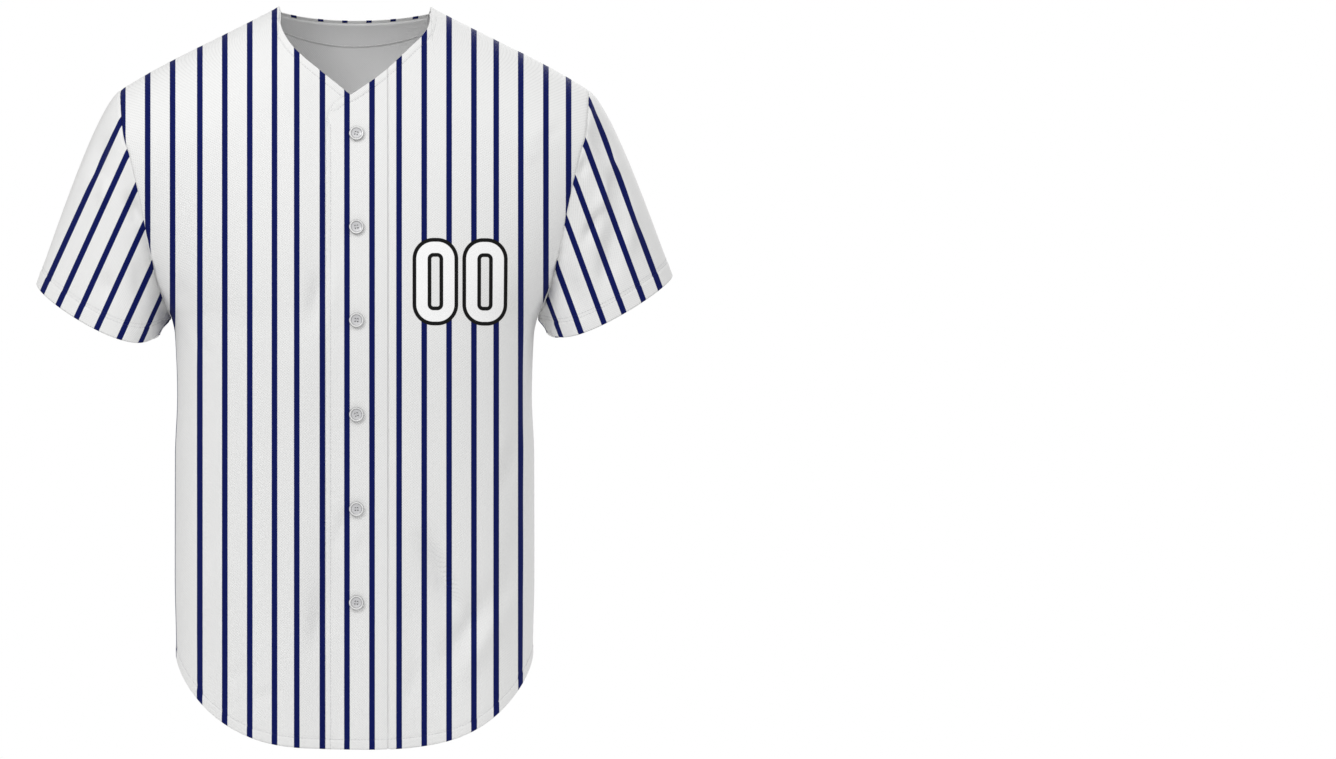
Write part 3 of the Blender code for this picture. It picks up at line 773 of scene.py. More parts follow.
def cuff_points(sleeve, turn):
    """Points of the cuff's edge: turn 0 is at the underarm seam, 0.5 at the top, front first."""
    angle = 2 * math.pi * turn
    share = (1 - np.cos(angle)) / 2 - CUFF_SKEW * np.sin(angle) ** 2
    inner = np.array([sleeve.inner_x, 0, sleeve.inner_z]) * MM
    outer = np.array([sleeve.outer_x, 0, sleeve.outer_z]) * MM
    line = outer - inner
    down = np.array([line[2], 0, -line[0]])
    down /= np.linalg.norm(down)
    dip = np.where(turn < 0.5, sleeve.front_dip, sleeve.back_dip) * MM
    points = inner + share[:, None] * line
    points = points + down * (dip * np.abs(np.sin(angle)) ** CUFF_ROUND)[:, None]
    points[:, 1] = -sleeve.half_depth * MM * np.sin(angle)
    points[:, 0] *= sleeve.side
    return points


def armhole(side, half_count):
    """Points and normals round the armhole at even steps, and their turns."""
    share = 1 - np.linspace(1, 0, 400) ** 2
    z = ARMPIT_Z + (SHOULDER_Z - ARMPIT_Z) * share
    loops, normals, turns = [], [], []
    for front in (True, False):
        edge = surface(side * half_width(z), z, front, False)
        lengths = np.concatenate([[0], np.cumsum(np.linalg.norm(np.diff(edge, axis=0), axis=1))])
        places = np.linspace(0, 1, half_count + 1)
        at = np.interp(places * lengths[-1], lengths, z)
        x = side * half_width(at)
        edge = surface(x, at, front, False)
        out = outward(x * 0.97, at - 2 * MM, front)
        if front:
            loops.append(edge[:-1])
            normals.append(out[:-1])
            turns.append(0.5 * places[:-1])
        else:
            loops.append(edge[:0:-1])
            normals.append(out[:0:-1])
            turns.append(0.5 + 0.5 * places[:-1])
    loop = np.concatenate(loops)
    normal = np.concatenate(normals)
    slope = math.atan2(SHOULDER_Z - NECK_RIDGE_Z, SHOULDER_X - NECK_LEFT[-1].x * MM)
    normal[0] = (side, 0, 0)
    normal[half_count] = (-side * math.sin(slope), 0, math.cos(slope))
    return loop, normal, np.concatenate(turns)


def sleeve_grid(sleeve, half_count, levels):
    """Rings of points from the armhole to the cuff."""
    loop, normals, turn = armhole(sleeve.side, half_count)
    cuff = cuff_points(sleeve, turn)
    outer = np.array([sleeve.side * sleeve.outer_x, 0, sleeve.outer_z]) * MM
    fall = outer - np.array([sleeve.side * SHOULDER_X, 0, SHOULDER_Z])
    fall /= np.linalg.norm(fall)
    lean = math.radians(SLEEVE_LEAN)
    close = np.array([sleeve.side * math.sin(lean), 0, -math.cos(lean)])
    reach = np.linalg.norm(cuff - loop, axis=1)[:, None]
    follow = ease((1 - np.abs(1 - 2 * turn)) * 3.2)[:, None]
    begin = fall - follow * (normals @ fall)[:, None] * normals
    begin /= np.linalg.norm(begin, axis=1)[:, None]
    first = loop + begin * SEAM_GAP
    rings = []
    for level in levels:
        a = level * (1 - level) ** 2 * reach * SLEEVE_FULLNESS
        b = level * level * (level - 1) * reach * SLEEVE_END_PULL
        near = (1 + 2 * level) * (1 - level) ** 2
        rings.append(first * near + cuff * (1 - near) + begin * a + close * b)
    return np.array(rings)


class Wire:
    """A number that a shader works out, on which Python's operators add Math nodes."""

    def __init__(self, look, socket):
        self.look = look
        self.socket = socket

    def __add__(self, other):
        return self.look.math("ADD", self, other)

    def __radd__(self, other):
        return self.look.math("ADD", other, self)

    def __sub__(self, other):
        return self.look.math("SUBTRACT", self, other)

    def __rsub__(self, other):
        return self.look.math("SUBTRACT", other, self)

    def __mul__(self, other):
        return self.look.math("MULTIPLY", self, other)

    def __rmul__(self, other):
        return self.look.math("MULTIPLY", other, self)

    def __truediv__(self, other):
        return self.look.math("DIVIDE", self, other)

    def __abs__(self):
        return self.look.math("ABSOLUTE", self)


class Look:
    """A material under construction."""

    def __init__(self, name):
        self.material = bpy.data.materials.new(name)
        self.material.use_nodes = True
        self.tree = self.material.node_tree
        self.shader = self.tree.nodes["Principled BSDF"]

    def node(self, kind, settings=None, sockets=None):
        made = self.tree.nodes.new(kind)
        for name, value in (settings or {}).items():
            setattr(made, name, value)
        for name, value in (sockets or {}).items():
            self.plug(made.inputs[name], value)
        return made

    def plug(self, socket, value):
        if isinstance(value, Wire):
            value = value.socket
        if isinstance(value, bpy.types.NodeSocket):
            self.tree.links.new(value, socket)
        else:
            socket.default_value = value

    def math(self, operation, *values):
        made = self.node("ShaderNodeMath", {"operation": operation}, dict(enumerate(values)))
        return Wire(self, made.outputs[0])

    def step(self, value, start, end, low=0.0, high=1.0):
        """A soft step from low to high."""
        sockets = {"Value": value, "From Min": start, "From Max": end, "To Min": low, "To Max": high}
        made = self.node("ShaderNodeMapRange", {"interpolation_type": "SMOOTHSTEP"}, sockets)
        return Wire(self, made.outputs["Result"])

    def mix(self, factor, first, second):
        made = self.node("ShaderNodeMix", {"data_type": "RGBA"}, {0: factor, 6: first, 7: second})
        return made.outputs[2]

    def tint(self, colour, value):
        """A colour made lighter or darker."""
        settings = {"data_type": "RGBA", "blend_type": "MULTIPLY"}
        grey = self.node("ShaderNodeCombineColor", None, {0: value, 1: value, 2: value})
        sockets = {0: 1.0, 6: colour, 7: grey.outputs[0]}
        return self.node("ShaderNodeMix", settings, sockets).outputs[2]

    def map(self, name):
        made = self.node("ShaderNodeUVMap", {"uv_map": name})
        parts = self.node("ShaderNodeSeparateXYZ", None, {0: made.outputs[0]})
        return Wire(self, parts.outputs[0]), Wire(self, parts.outputs[1])

    def place(self):
        made = self.node("ShaderNodeTexCoord")
        return made.outputs["Object"]

    def place_parts(self):
        parts = self.node("ShaderNodeSeparateXYZ", None, {0: self.place()})
        return [Wire(self, output) for output in parts.outputs]

    def noise(self, scale, detail=2.0, roughness=0.5, vector=None):
        sockets = {"Vector": vector or self.place(), "Scale": scale, "Detail": detail}
        sockets["Roughness"] = roughness
        return Wire(self, self.node("ShaderNodeTexNoise", None, sockets).outputs["Fac"])

    def bump(self, height, distance):
        sockets = {"Height": height, "Distance": distance, "Strength": 1.0}
        self.plug(self.shader.inputs["Normal"], self.node("ShaderNodeBump", None, sockets).outputs[0])

    def set(self, **values):
        for name, value in values.items():
            self.plug(self.shader.inputs[name.replace("_", " ")], value)


def linear(red, green, blue):
    """A colour from its values on screen."""
    parts = [value / 255 for value in (red, green, blue)]
    return (*(p / 12.92 if p < 0.04045 else ((p + 0.055) / 1.055) ** 2.4 for p in parts), 1.0)


Number = namedtuple("Number", "x height width tall gap stroke outline")
CHEST_NUMBER = Number(108.0, -288.2, 39.0, 81.5, 12.0, 11.5, 3.9)
BACK_NUMBER = Number(-3.5, -308.5, 86.0, 188.0, 22.0, 26.0, 4.9)


def knit(look, u, v):
    """The honeycomb of the double knit: 1 on its raised cells, 0 in its pits."""
    turn = 2 * math.pi / bpy.context.scene.jersey_cloth.knit_pitch
    across = look.math("COSINE", u * turn)
    along = look.math("COSINE", v * turn)
    return (across * along) * 0.5 + 0.5


def printed_number(look, number):
    """Distance from the strokes of two noughts side by side."""
    x, _, z = look.place_parts()
    middle = (number.width + number.gap) / 2 * MM
    across = abs(abs(x - number.x * MM) - middle)
    up = abs(z - number.height * MM)
    half = (number.width - number.stroke) / 2 * MM
    tall = (number.tall - number.stroke) / 2 * MM
    radius = half * 0.86
    right = across - (half - radius)
    high = up - (tall - radius)
    corner_x = look.math("MAXIMUM", right, 0.0)
    corner_z = look.math("MAXIMUM", high, 0.0)
    outside = look.math("SQRT", corner_x * corner_x + corner_z * corner_z)
    inside = look.math("MINIMUM", look.math("MAXIMUM", right, high), 0.0)
    return abs(outside + inside - radius) - number.stroke / 2 * MM


def cloth_look(name, number=None):
    """White double knit with pinstripes, and a printed number where there is one; the knit's pits are darkened with
    painted shade.
    """
    stripe = bpy.context.scene.jersey_stripes
    look = Look(name)
    u, v = look.map("knit")
    count, pitch = look.map("stripes")
    cells = knit(look, u, v)
    yarn = look.noise(1500.0, 2.0)
    cloudy = look.noise(9.0, 3.0)
    # painted shade: this mask darkens the knit's pits in the cloth and the print
    pits = look.step(cells, 0.34, 0.02)
    line = stripe_line(look, count, pitch, (cells - 0.5) * (0.08 * MM))
    # the cloth's tone: real cloudy variation, less painted shade in the knit's pits
    light = (0.99 + cloudy * 0.03) - pits * 0.17
    white = look.tint(tuple(stripe.cloth), light)
    # painted shade: the stripes' navy is darker in the knit's pits
    navy = look.mix(cells, tuple(stripe.line_pit_shade), tuple(stripe.line))
    colour = look.mix(line, white, navy)
    rough = 0.80 - line * 0.08
    relief = cells * 0.8 + yarn * 0.35
    if number:
        distance = printed_number(look, number)
        edge = look.step(distance, number.outline * MM + 0.2 * MM, number.outline * MM - 0.2 * MM)
        fill = look.step(distance, 0.2 * MM, -0.2 * MM)
        ink = look.mix(fill, linear(18, 18, 18), (0.97, 0.97, 0.97, 1.0))
        # painted shade: the print is darker in the knit's pits
        ink = look.tint(ink, 1.0 - pits * 0.05)
        colour = look.mix(edge, colour, ink)
        rough = rough - edge * 0.22
        relief = relief * (1.0 - edge * 0.45)
    look.set(Base_Color=colour, Roughness=rough, Specular_IOR_Level=0.10, Sheen_Weight=0.02)
    look.set(Sheen_Roughness=0.45)
    look.bump(relief, 0.17 * MM)
    return look.material


def inside_look():
    """The cloth's plain back, with the same knit."""
    look = Look("jersey inside")
    u, v = look.map("knit")
    cells = knit(look, u, v)
    yarn = look.noise(1500.0, 2.0)
    cloudy = look.noise(14.0, 3.0)
    grey = look.tint(tuple(bpy.context.scene.jersey_stripes.inside), 0.96 + cloudy * 0.06 - cells * 0.04)
    look.set(Base_Color=grey, Roughness=0.88, Specular_IOR_Level=0.2, Sheen_Weight=0.1)
    look.bump(cells * 0.6 + yarn * 0.5, 0.14 * MM)
    return look.material


def stripe_line(look, count, pitch, unevenness=0.0):
    """1 on the pinstripes, from the cloth's numbering of them."""
    half = bpy.context.scene.jersey_stripes.width / 2
    away = abs(look.math("FRACT", count + 0.5) - 0.5) * pitch + unevenness
    return look.step(away, half + 0.25 * MM, half - 0.25 * MM)


def thread_look(name, colour, striped=False):
    look = Look(name)
    twist = look.noise(2600.0, 1.0)
    shade = look.tint(colour, 0.86 + twist * 0.22)
    if striped:
        below = look.node("ShaderNodeAttribute", {"attribute_name": "below"})
        parts = look.node("ShaderNodeSeparateXYZ", None, {0: below.outputs["Vector"]})
        line = stripe_line(look, Wire(look, parts.outputs[0]), Wire(look, parts.outputs[1]))
        shade = look.mix(line, shade, tuple(bpy.context.scene.jersey_stripes.line))
    look.set(Base_Color=shade, Roughness=0.62)
    look.bump(twist, 0.05 * MM)
    return look.material


def button_look():
    """Pearly resin: soft clouds and a clear gloss, with painted shade on the dish, in a ring at its edge and on the
    side.
    """
    look = Look("pearl resin")
    cloudy = look.noise(320.0, 4.0, 0.6)
    veins = look.node("ShaderNodeTexNoise", None, {"Vector": look.place(), "Scale": 90.0, "Distortion": 3.0})
    share = look.step(Wire(look, veins.outputs["Fac"]), 0.35, 0.7)
    radius, _ = look.map("turning")
    # painted shade: masks for the recessed dish, the ring at its edge and the button's side
    dish = look.step(radius, 5.9 * MM, 5.2 * MM)
    side = look.step(radius, 6.9 * MM, 7.5 * MM)
    foot = look.step(abs(radius - 5.35 * MM), 0.45 * MM, 0.15 * MM)
    pearl = look.mix(share, linear(222, 222, 222), linear(236, 236, 235))
    # painted shade: the dish greyer, the ring at its edge darker, the side darkest as a painted shadow
    pearl = look.mix(dish, pearl, linear(206, 206, 208))
    pearl = look.mix(foot, pearl, linear(150, 150, 152))
    pearl = look.mix(side, pearl, linear(110, 110, 112))
    look.set(Base_Color=look.tint(pearl, 0.94 + cloudy * 0.08), Roughness=0.20 + cloudy * 0.10)
    look.set(Coat_Weight=0.3, Coat_Roughness=0.08, IOR=1.5)
    look.bump(cloudy, 0.02 * MM)
    return look.material


def floor_look():
    look = Look("floor")
    soft = look.noise(3.0, 2.0)
    look.set(Base_Color=look.tint(linear(250, 250, 250), 0.985 + soft * 0.02), Roughness=0.9)
    return look.material


def material(name, make, *values):
    """A finish that several pieces share, made once."""
    return bpy.data.materials.get(name) or make(*values)


def stitch_tree():
    """Small threads laid end to end along a path."""
    tree = bpy.data.node_groups.new("stitches", "GeometryNodeTree")
    face = tree.interface
    face.new_socket("Path", in_out="INPUT", socket_type="NodeSocketGeometry")
    for label, default in (("Pitch", 3.4 * MM), ("Length", 2.6 * MM), ("Radius", 0.22 * MM)):
        face.new_socket(label, in_out="INPUT", socket_type="NodeSocketFloat").default_value = default
    face.new_socket("Unevenness", in_out="INPUT", socket_type="NodeSocketFloat").default_value = 0.12
    face.new_socket("Seed", in_out="INPUT", socket_type="NodeSocketInt").default_value = 7
    face.new_socket("Thread", in_out="INPUT", socket_type="NodeSocketMaterial")
    face.new_socket("Stitches", in_out="OUTPUT", socket_type="NodeSocketGeometry")

    def node(kind, settings=None, sockets=None):
        made = tree.nodes.new(kind)
        for name, value in (settings or {}).items():
            setattr(made, name, value)
        for name, value in (sockets or {}).items():
            if isinstance(value, bpy.types.NodeSocket):
                tree.links.new(value, made.inputs[name])
            else:
                made.inputs[name].default_value = value
        return made

    given = node("NodeGroupInput").outputs
    curve = node("GeometryNodeMeshToCurve", None, {"Mesh": given["Path"]})
    even = node("GeometryNodeResampleCurve", {"mode": "LENGTH"}, {"Curve": curve.outputs[0], "Length": given["Pitch"]})
    spots = node("GeometryNodeCurveToPoints", {"mode": "EVALUATED"}, {"Curve": even.outputs[0]})
    turned = node("FunctionNodeAlignRotationToVector", {"axis": "Z"}, {"Vector": spots.outputs["Tangent"]})
    ball = node("GeometryNodeMeshUVSphere", None, {"Segments": 6, "Rings": 5, "Radius": 1.0})
    half = node("ShaderNodeMath", {"operation": "MULTIPLY"}, {0: given["Length"], 1: 0.5})
    size = node("ShaderNodeCombineXYZ", None, {0: given["Radius"], 1: given["Radius"], 2: half.outputs[0]})
    thread = node("GeometryNodeTransform", None, {"Geometry": ball.outputs[0], "Scale": size.outputs[0]})
    least = node("ShaderNodeMath", {"operation": "SUBTRACT"}, {0: 1.0, 1: given["Unevenness"]})
    most = node("ShaderNodeMath", {"operation": "ADD"}, {0: 1.0, 1: given["Unevenness"]})
    vary = node("FunctionNodeRandomValue", {"data_type": "FLOAT"}, {"Seed": given["Seed"]})
    tree.links.new(least.outputs[0], vary.inputs[2])
    tree.links.new(most.outputs[0], vary.inputs[3])
    sockets = {"Points": spots.outputs["Points"], "Instance": thread.outputs[0]}
    sockets |= {"Rotation": turned.outputs[0], "Scale": vary.outputs[1]}
    laid = node("GeometryNodeInstanceOnPoints", None, sockets)
    real = node("GeometryNodeRealizeInstances", None, {"Geometry": laid.outputs[0]})
    soft = node("GeometryNodeSetShadeSmooth", None, {"Geometry": real.outputs[0]})
    done = node("GeometryNodeSetMaterial", None, {"Geometry": soft.outputs[0], "Material": given["Thread"]})
    node("NodeGroupOutput", None, {0: done.outputs[0]})
    return tree


def stitch_piece(name, lines, slot, thread, **sizes):
    """Stitches along one or more lines, as one plain mesh."""
    tree = bpy.data.node_groups.get("stitches") or stitch_tree()
    verts, edges = [], []
    for line in lines:
        start = len(verts)
        verts += [tuple(point[:3]) for point in line]
        edges += [(k, k + 1) for k in range(start, len(verts) - 1)]
    mesh = bpy.data.meshes.new(name)
    mesh.from_pydata(verts, edges, [])
    below = mesh.attributes.new("below", "FLOAT_VECTOR", "POINT")
    values = np.concatenate([np.pad(line[:, 3:], ((0, 0), (0, 1))) for line in lines])
    below.data.foreach_set("vector", values.astype(np.float32).ravel())
    piece = bpy.data.objects.new(name, mesh)
    bpy.context.scene.collection.objects.link(piece)
    modifier = piece.modifiers.new("stitches", "NODES")
    modifier.node_group = tree
    sizes["Thread"] = thread
    for socket in tree.interface.items_tree:
        if socket.in_out == "INPUT" and socket.name in sizes:
            modifier[socket.identifier] = sizes[socket.name]
    bpy.context.view_layer.update()
    made = piece.evaluated_get(bpy.context.evaluated_depsgraph_get())
    plain = bpy.data.meshes.new_from_object(made)
    piece.modifiers.remove(modifier)
    piece.data = plain
    plain.name = name
    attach(piece, "root")
    return piece


def button_mesh(steps):
    """One button turned about Z with its back at height 0, its four holes and its thread."""
    radius, thick, rim, dish = 7.6 * MM, 3.0 * MM, 1.9 * MM, 1.25 * MM
    floor = thick - dish
    profile = [(0.0, floor - 0.12 * MM), (radius - rim - 1.6 * MM, floor)]
    for k in range(7):
        angle = math.pi * (1.0 - k / 6)
        profile.append((radius - rim / 2 + rim / 2 * math.cos(angle) * 0.98, thick - 0.5 * MM * (1 - math.sin(angle)) * (1 if k < 4 else 1.4)))
    profile += [(radius, thick - 1.3 * MM), (radius - 0.3 * MM, thick - 1.9 * MM)]
    profile += [(radius - 1.4 * MM, 0.25 * MM), (radius - 2.0 * MM, 0.0), (0.0, 0.0)]
    mesh = bpy.data.meshes.new("button profile")
    mesh.from_pydata([(r, 0.0, h) for r, h in profile], [(k, k + 1) for k in range(len(profile) - 1)], [])
    blank = bpy.data.objects.new("button blank", mesh)
    bpy.context.scene.collection.objects.link(blank)
    screw = blank.modifiers.new("turn", "SCREW")
    screw.steps = screw.render_steps = steps
    screw.use_merge_vertices = True
    screw.merge_threshold = 0.00001
    screw.use_normal_calculate = True
    drills = []
    for corner in range(4):
        angle = math.radians(45 + 90 * corner)
        place = (1.75 * MM * math.cos(angle), 1.75 * MM * math.sin(angle), thick / 2)
        bpy.ops.mesh.primitive_cylinder_add(vertices=18, radius=0.85 * MM, depth=3 * thick, location=place)
        drills.append(bpy.context.object)
        hole = blank.modifiers.new("hole", "BOOLEAN")
        hole.operation = "DIFFERENCE"
        hole.object = drills[-1]
    bpy.context.view_layer.update()
    turned = blank.evaluated_get(bpy.context.evaluated_depsgraph_get())
    finished = bpy.data.meshes.new_from_object(turned)
    finished.materials.clear()
    for spare in [blank, *drills]:
        bpy.data.objects.remove(spare)
    builder = bmesh.new()
    builder.from_mesh(finished)
    for side in (-1, 1):
        for lay in (-0.22, 0.22):
            made = bmesh.ops.create_uvsphere(builder, u_segments=10, v_segments=8, radius=1.0)
            size = Matrix.Diagonal((0.24 * MM, 1.5 * MM, 0.34 * MM, 1.0))
            place = Matrix.Translation(((side * 1.24 + lay) * MM, 0, floor + 0.05 * MM))
            bmesh.ops.transform(builder, matrix=place @ size, verts=made["verts"])
            for face in {face for vert in made["verts"] for face in vert.link_faces}:
                face.material_index = 1
    builder.to_mesh(finished)
    builder.free()
    places = np.empty(len(finished.vertices) * 3)
    finished.vertices.foreach_get("co", places)
    places = places.reshape(-1, 3)
    corners = np.empty(len(finished.loops), int)
    finished.loops.foreach_get("vertex_index", corners)
    turning = np.stack([np.hypot(places[:, 0], places[:, 1]), places[:, 2]], -1)[corners]
    while finished.uv_layers:
        finished.uv_layers.remove(finished.uv_layers[0])
    finished.uv_layers.new(name="turning").data.foreach_set("uv", turning.ravel())
    finished.shade_smooth()
    finished.set_sharp_from_angle(angle=math.radians(38))
    return finished


class JerseyCloth(bpy.types.PropertyGroup):
    cell: bpy.props.FloatProperty(name="Cell", description="Size of the cloth's grid", default=3.5 * MM, min=1.5 * MM, subtype="DISTANCE")
    wall: bpy.props.FloatProperty(name="Wall", description="Thickness of the cloth", default=0.9 * MM, subtype="DISTANCE")
    knit_pitch: bpy.props.FloatProperty(name="Knit", description="Size of a cell of the knit", default=2.6 * MM, subtype="DISTANCE")
    neck_hem: bpy.props.FloatProperty(name="Neck", description="Width of the turned neckline", default=6.6 * MM, subtype="DISTANCE")
    shirt_hem: bpy.props.FloatProperty(name="Hem", description="Width of the turned hem", default=9.5 * MM, subtype="DISTANCE")
    cuff_hem: bpy.props.FloatProperty(name="Cuff", description="Width of the turned cuff", default=15.5 * MM, subtype="DISTANCE")


class JerseyStripes(bpy.types.PropertyGroup):
    width: bpy.props.FloatProperty(name="Width", description="Width of a pinstripe", default=6.0 * MM, subtype="DISTANCE")
    cloth: bpy.props.FloatVectorProperty(name="Cloth", description="Colour of the cloth", default=(0.83, 0.83, 0.825, 1.0), size=4, subtype="COLOR")
    inside: bpy.props.FloatVectorProperty(name="Inside", description="Colour of the cloth's back", default=(0.88, 0.88, 0.88, 1.0), size=4, subtype="COLOR")
    line: bpy.props.FloatVectorProperty(name="Stripe", description="Colour of the pinstripes", default=linear(6, 24, 96), size=4, subtype="COLOR")
    # painted shade: the stripes' colour in the knit's pits, darker than on the raised cells
    line_pit_shade: bpy.props.FloatVectorProperty(name="Stripe pits", description="Colour of the pinstripes between the cells", default=linear(4, 10, 72), size=4, subtype="COLOR")


class JerseyStitching(bpy.types.PropertyGroup):
    pitch: bpy.props.FloatProperty(name="Pitch", description="From stitch to stitch", default=3.3 * MM, subtype="DISTANCE")
    length: bpy.props.FloatProperty(name="Length", description="Length of a stitch", default=2.6 * MM, subtype="DISTANCE")
    radius: bpy.props.FloatProperty(name="Thread", description="Radius of the thread", default=0.21 * MM, subtype="DISTANCE")


class JerseyButtons(bpy.types.PropertyGroup):
    steps: bpy.props.IntProperty(name="Steps", description="Faces round a button", default=56, min=12)


class JerseyStage(bpy.types.PropertyGroup):
    lamps: bpy.props.FloatProperty(name="Lamps", description="Brightness of the lamps", default=1.0, min=0.0)
    sky: bpy.props.FloatProperty(name="Surroundings", description="Brightness of the surroundings", default=0.66)
    floor_z: bpy.props.FloatProperty(name="Floor", description="Height of the floor", default=-0.85, subtype="DISTANCE")


def cloth_materials(name, number=None):
    look = material(name, cloth_look, name, number)
    return [look, material("jersey inside", inside_look)]


class JERSEY_OT_back(bpy.types.Operator):
    """Make the back in one piece"""

    bl_idname = "jersey.back"
    bl_label = "Back"

    def execute(self, context):
        cloth = context.scene.jersey_cloth
        cells = (round(30 * 3.5 * MM / cloth.cell), round(60 * 3.5 * MM / cloth.cell))
        halves = [half_grid(side, False, 0.0, *cells, cloth.cell) for side in (-1, 1)]
        x, z = [np.concatenate([right[:, :0:-1], left], axis=1) for right, left in zip(*halves)]
        _, armpit = row_shares(cloth.cell)
        middle = x.shape[1] // 2
        corners = (middle - cells[0], middle + cells[0])
        low, high = slice(0, armpit + 1), slice(armpit, None)
        seams = [(low, 0), (low, -1), (high, 0), (high, -1)]
        seams += [(-1, slice(0, corners[0] + 1)), (-1, slice(corners[1], None))]
        away = [(low, 0), (low, -1), (-1, slice(0, corners[0] + 1)), (-1, slice(corners[1], None))]
        neck = (-1, slice(corners[0], corners[1] + 1))
        hems = [
            ((0, slice(None)), cloth.shirt_hem, [("stitch_hem", cloth.shirt_hem)], True),
            (neck, 24.5 * MM, [("stitch_nape", 24.5 * MM)], False),
        ]
        piece = body_piece("jersey_back", x, z, False, seams, hems, roll_off=away)
        finish_piece(piece, "back", cloth_materials("jersey cloth back", BACK_NUMBER))
        return {"FINISHED"}


class JERSEY_OT_fronts(bpy.types.Operator):
    """Make the two fronts and the placket that laps over the right one"""

    bl_idname = "jersey.fronts"
    bl_label = "Fronts"

    def execute(self, context):
        cloth = context.scene.jersey_cloth
        _, armpit = row_shares(cloth.cell)
        low, high = slice(0, armpit + 1), slice(armpit, None)
        for side, name in ((1, "front_left"), (-1, "front_right")):
            x, z, corner = front_grids(side)
            seams = [(low, -1), (high, -1), (-1, slice(corner, None))]
            away = [(low, -1), (-1, slice(corner, None))]
            start = 0 if side > 0 else 10
            neck = (-1, slice(start, corner + 1))
            hems = [
                ((0, slice(None)), cloth.shirt_hem, [("stitch_hem", cloth.shirt_hem)], True),
                (neck, cloth.neck_hem, [("stitch_neck", cloth.neck_hem)], True),
            ]
            sunk = None
            placket_seam = (slice(None), 0)
            shoulder = seams[2]
            if side > 0:
                seams.append(placket_seam)
            else:
                sunk = LAP_SUNK * ease((x + LAP_START_X) / (LAP_START_X - LAP_FULL_X))
            piece = body_piece(f"jersey_{name}", x, z, True, seams, hems, sunk, away, placket_seam, shoulder)
            number = CHEST_NUMBER if side > 0 else None
            look = "jersey cloth front" if side > 0 else "jersey cloth"
            finish_piece(piece, name, cloth_materials(look, number))
        near = np.array([0.0, 0.7, 1.6, 2.8, 4.2, 5.6]) * MM
        end = PLACKET_SEAM_X - SEAM_GAP / 2
        xs = np.concatenate([PLACKET_EDGE_X + near, np.linspace(PLACKET_EDGE_X + 8 * MM, end - 3 * MM, 15), [end - 1.5 * MM, end]])
        foot = LAP_CORNER[-1].x * MM
        tops = np.where(xs < foot, edge_height(LAP_CORNER, xs), edge_height(NECK_LEFT, xs))
        x, z = strip_grid(xs, tops, cloth.cell)
        seams = [(slice(None), -1)]
        hems = [
            ((0, slice(None)), cloth.shirt_hem, [("stitch_hem", cloth.shirt_hem)], False),
            ((-1, slice(6, None)), cloth.neck_hem, [("stitch_neck", cloth.neck_hem)], False),
            ((slice(None), 0), 4.6 * MM, [("stitch_placket", 4.6 * MM)], False),
        ]
        piece = body_piece("jersey_placket", x, z, True, seams, hems, flat=seams[0])
        finish_piece(piece, "placket", cloth_materials("jersey cloth"))
        return {"FINISHED"}


class JERSEY_OT_facing(bpy.types.Operator):
    """Make the facing inside the neck"""

    bl_idname = "jersey.facing"
    bl_label = "Neck Facing"

    def execute(self, context):
        points = facing_points()
        (points,), _ = to_the_left([points], np.array([0, 0, -50 * MM]))
        normals = grid_normals(points)
        lower = points[0] if points[0, 24, 2] < points[-1, 24, 2] else points[-1]
        distance, _ = from_edge(points, lower)
        sides, _ = from_edge(points, np.concatenate([points[:, 0]]))
        others, _ = from_edge(points, points[:, -1])
        thick = 0.10 * MM + 0.25 * MM * ease(np.minimum(np.minimum(sides, others), distance) / (5 * MM))
        inner = points - normals * thick[..., None]
        plain = np.zeros((*points.shape[:2], 2)) + (0.5, 25 * MM)
        lifted = with_stripes(inner - normals * THREAD_LIFT, plain)
        add_stitches("stitch_facing", contour(lifted, distance, 2.2 * MM))
        maps = {"knit": knit_map(points)}
        piece = shell("jersey_neck_facing", points, inner, np.ones(points.shape[:2]), maps)
        inside = material("jersey inside", inside_look)
        finish_piece(piece, "neck_facing", [inside, inside])
        return {"FINISHED"}


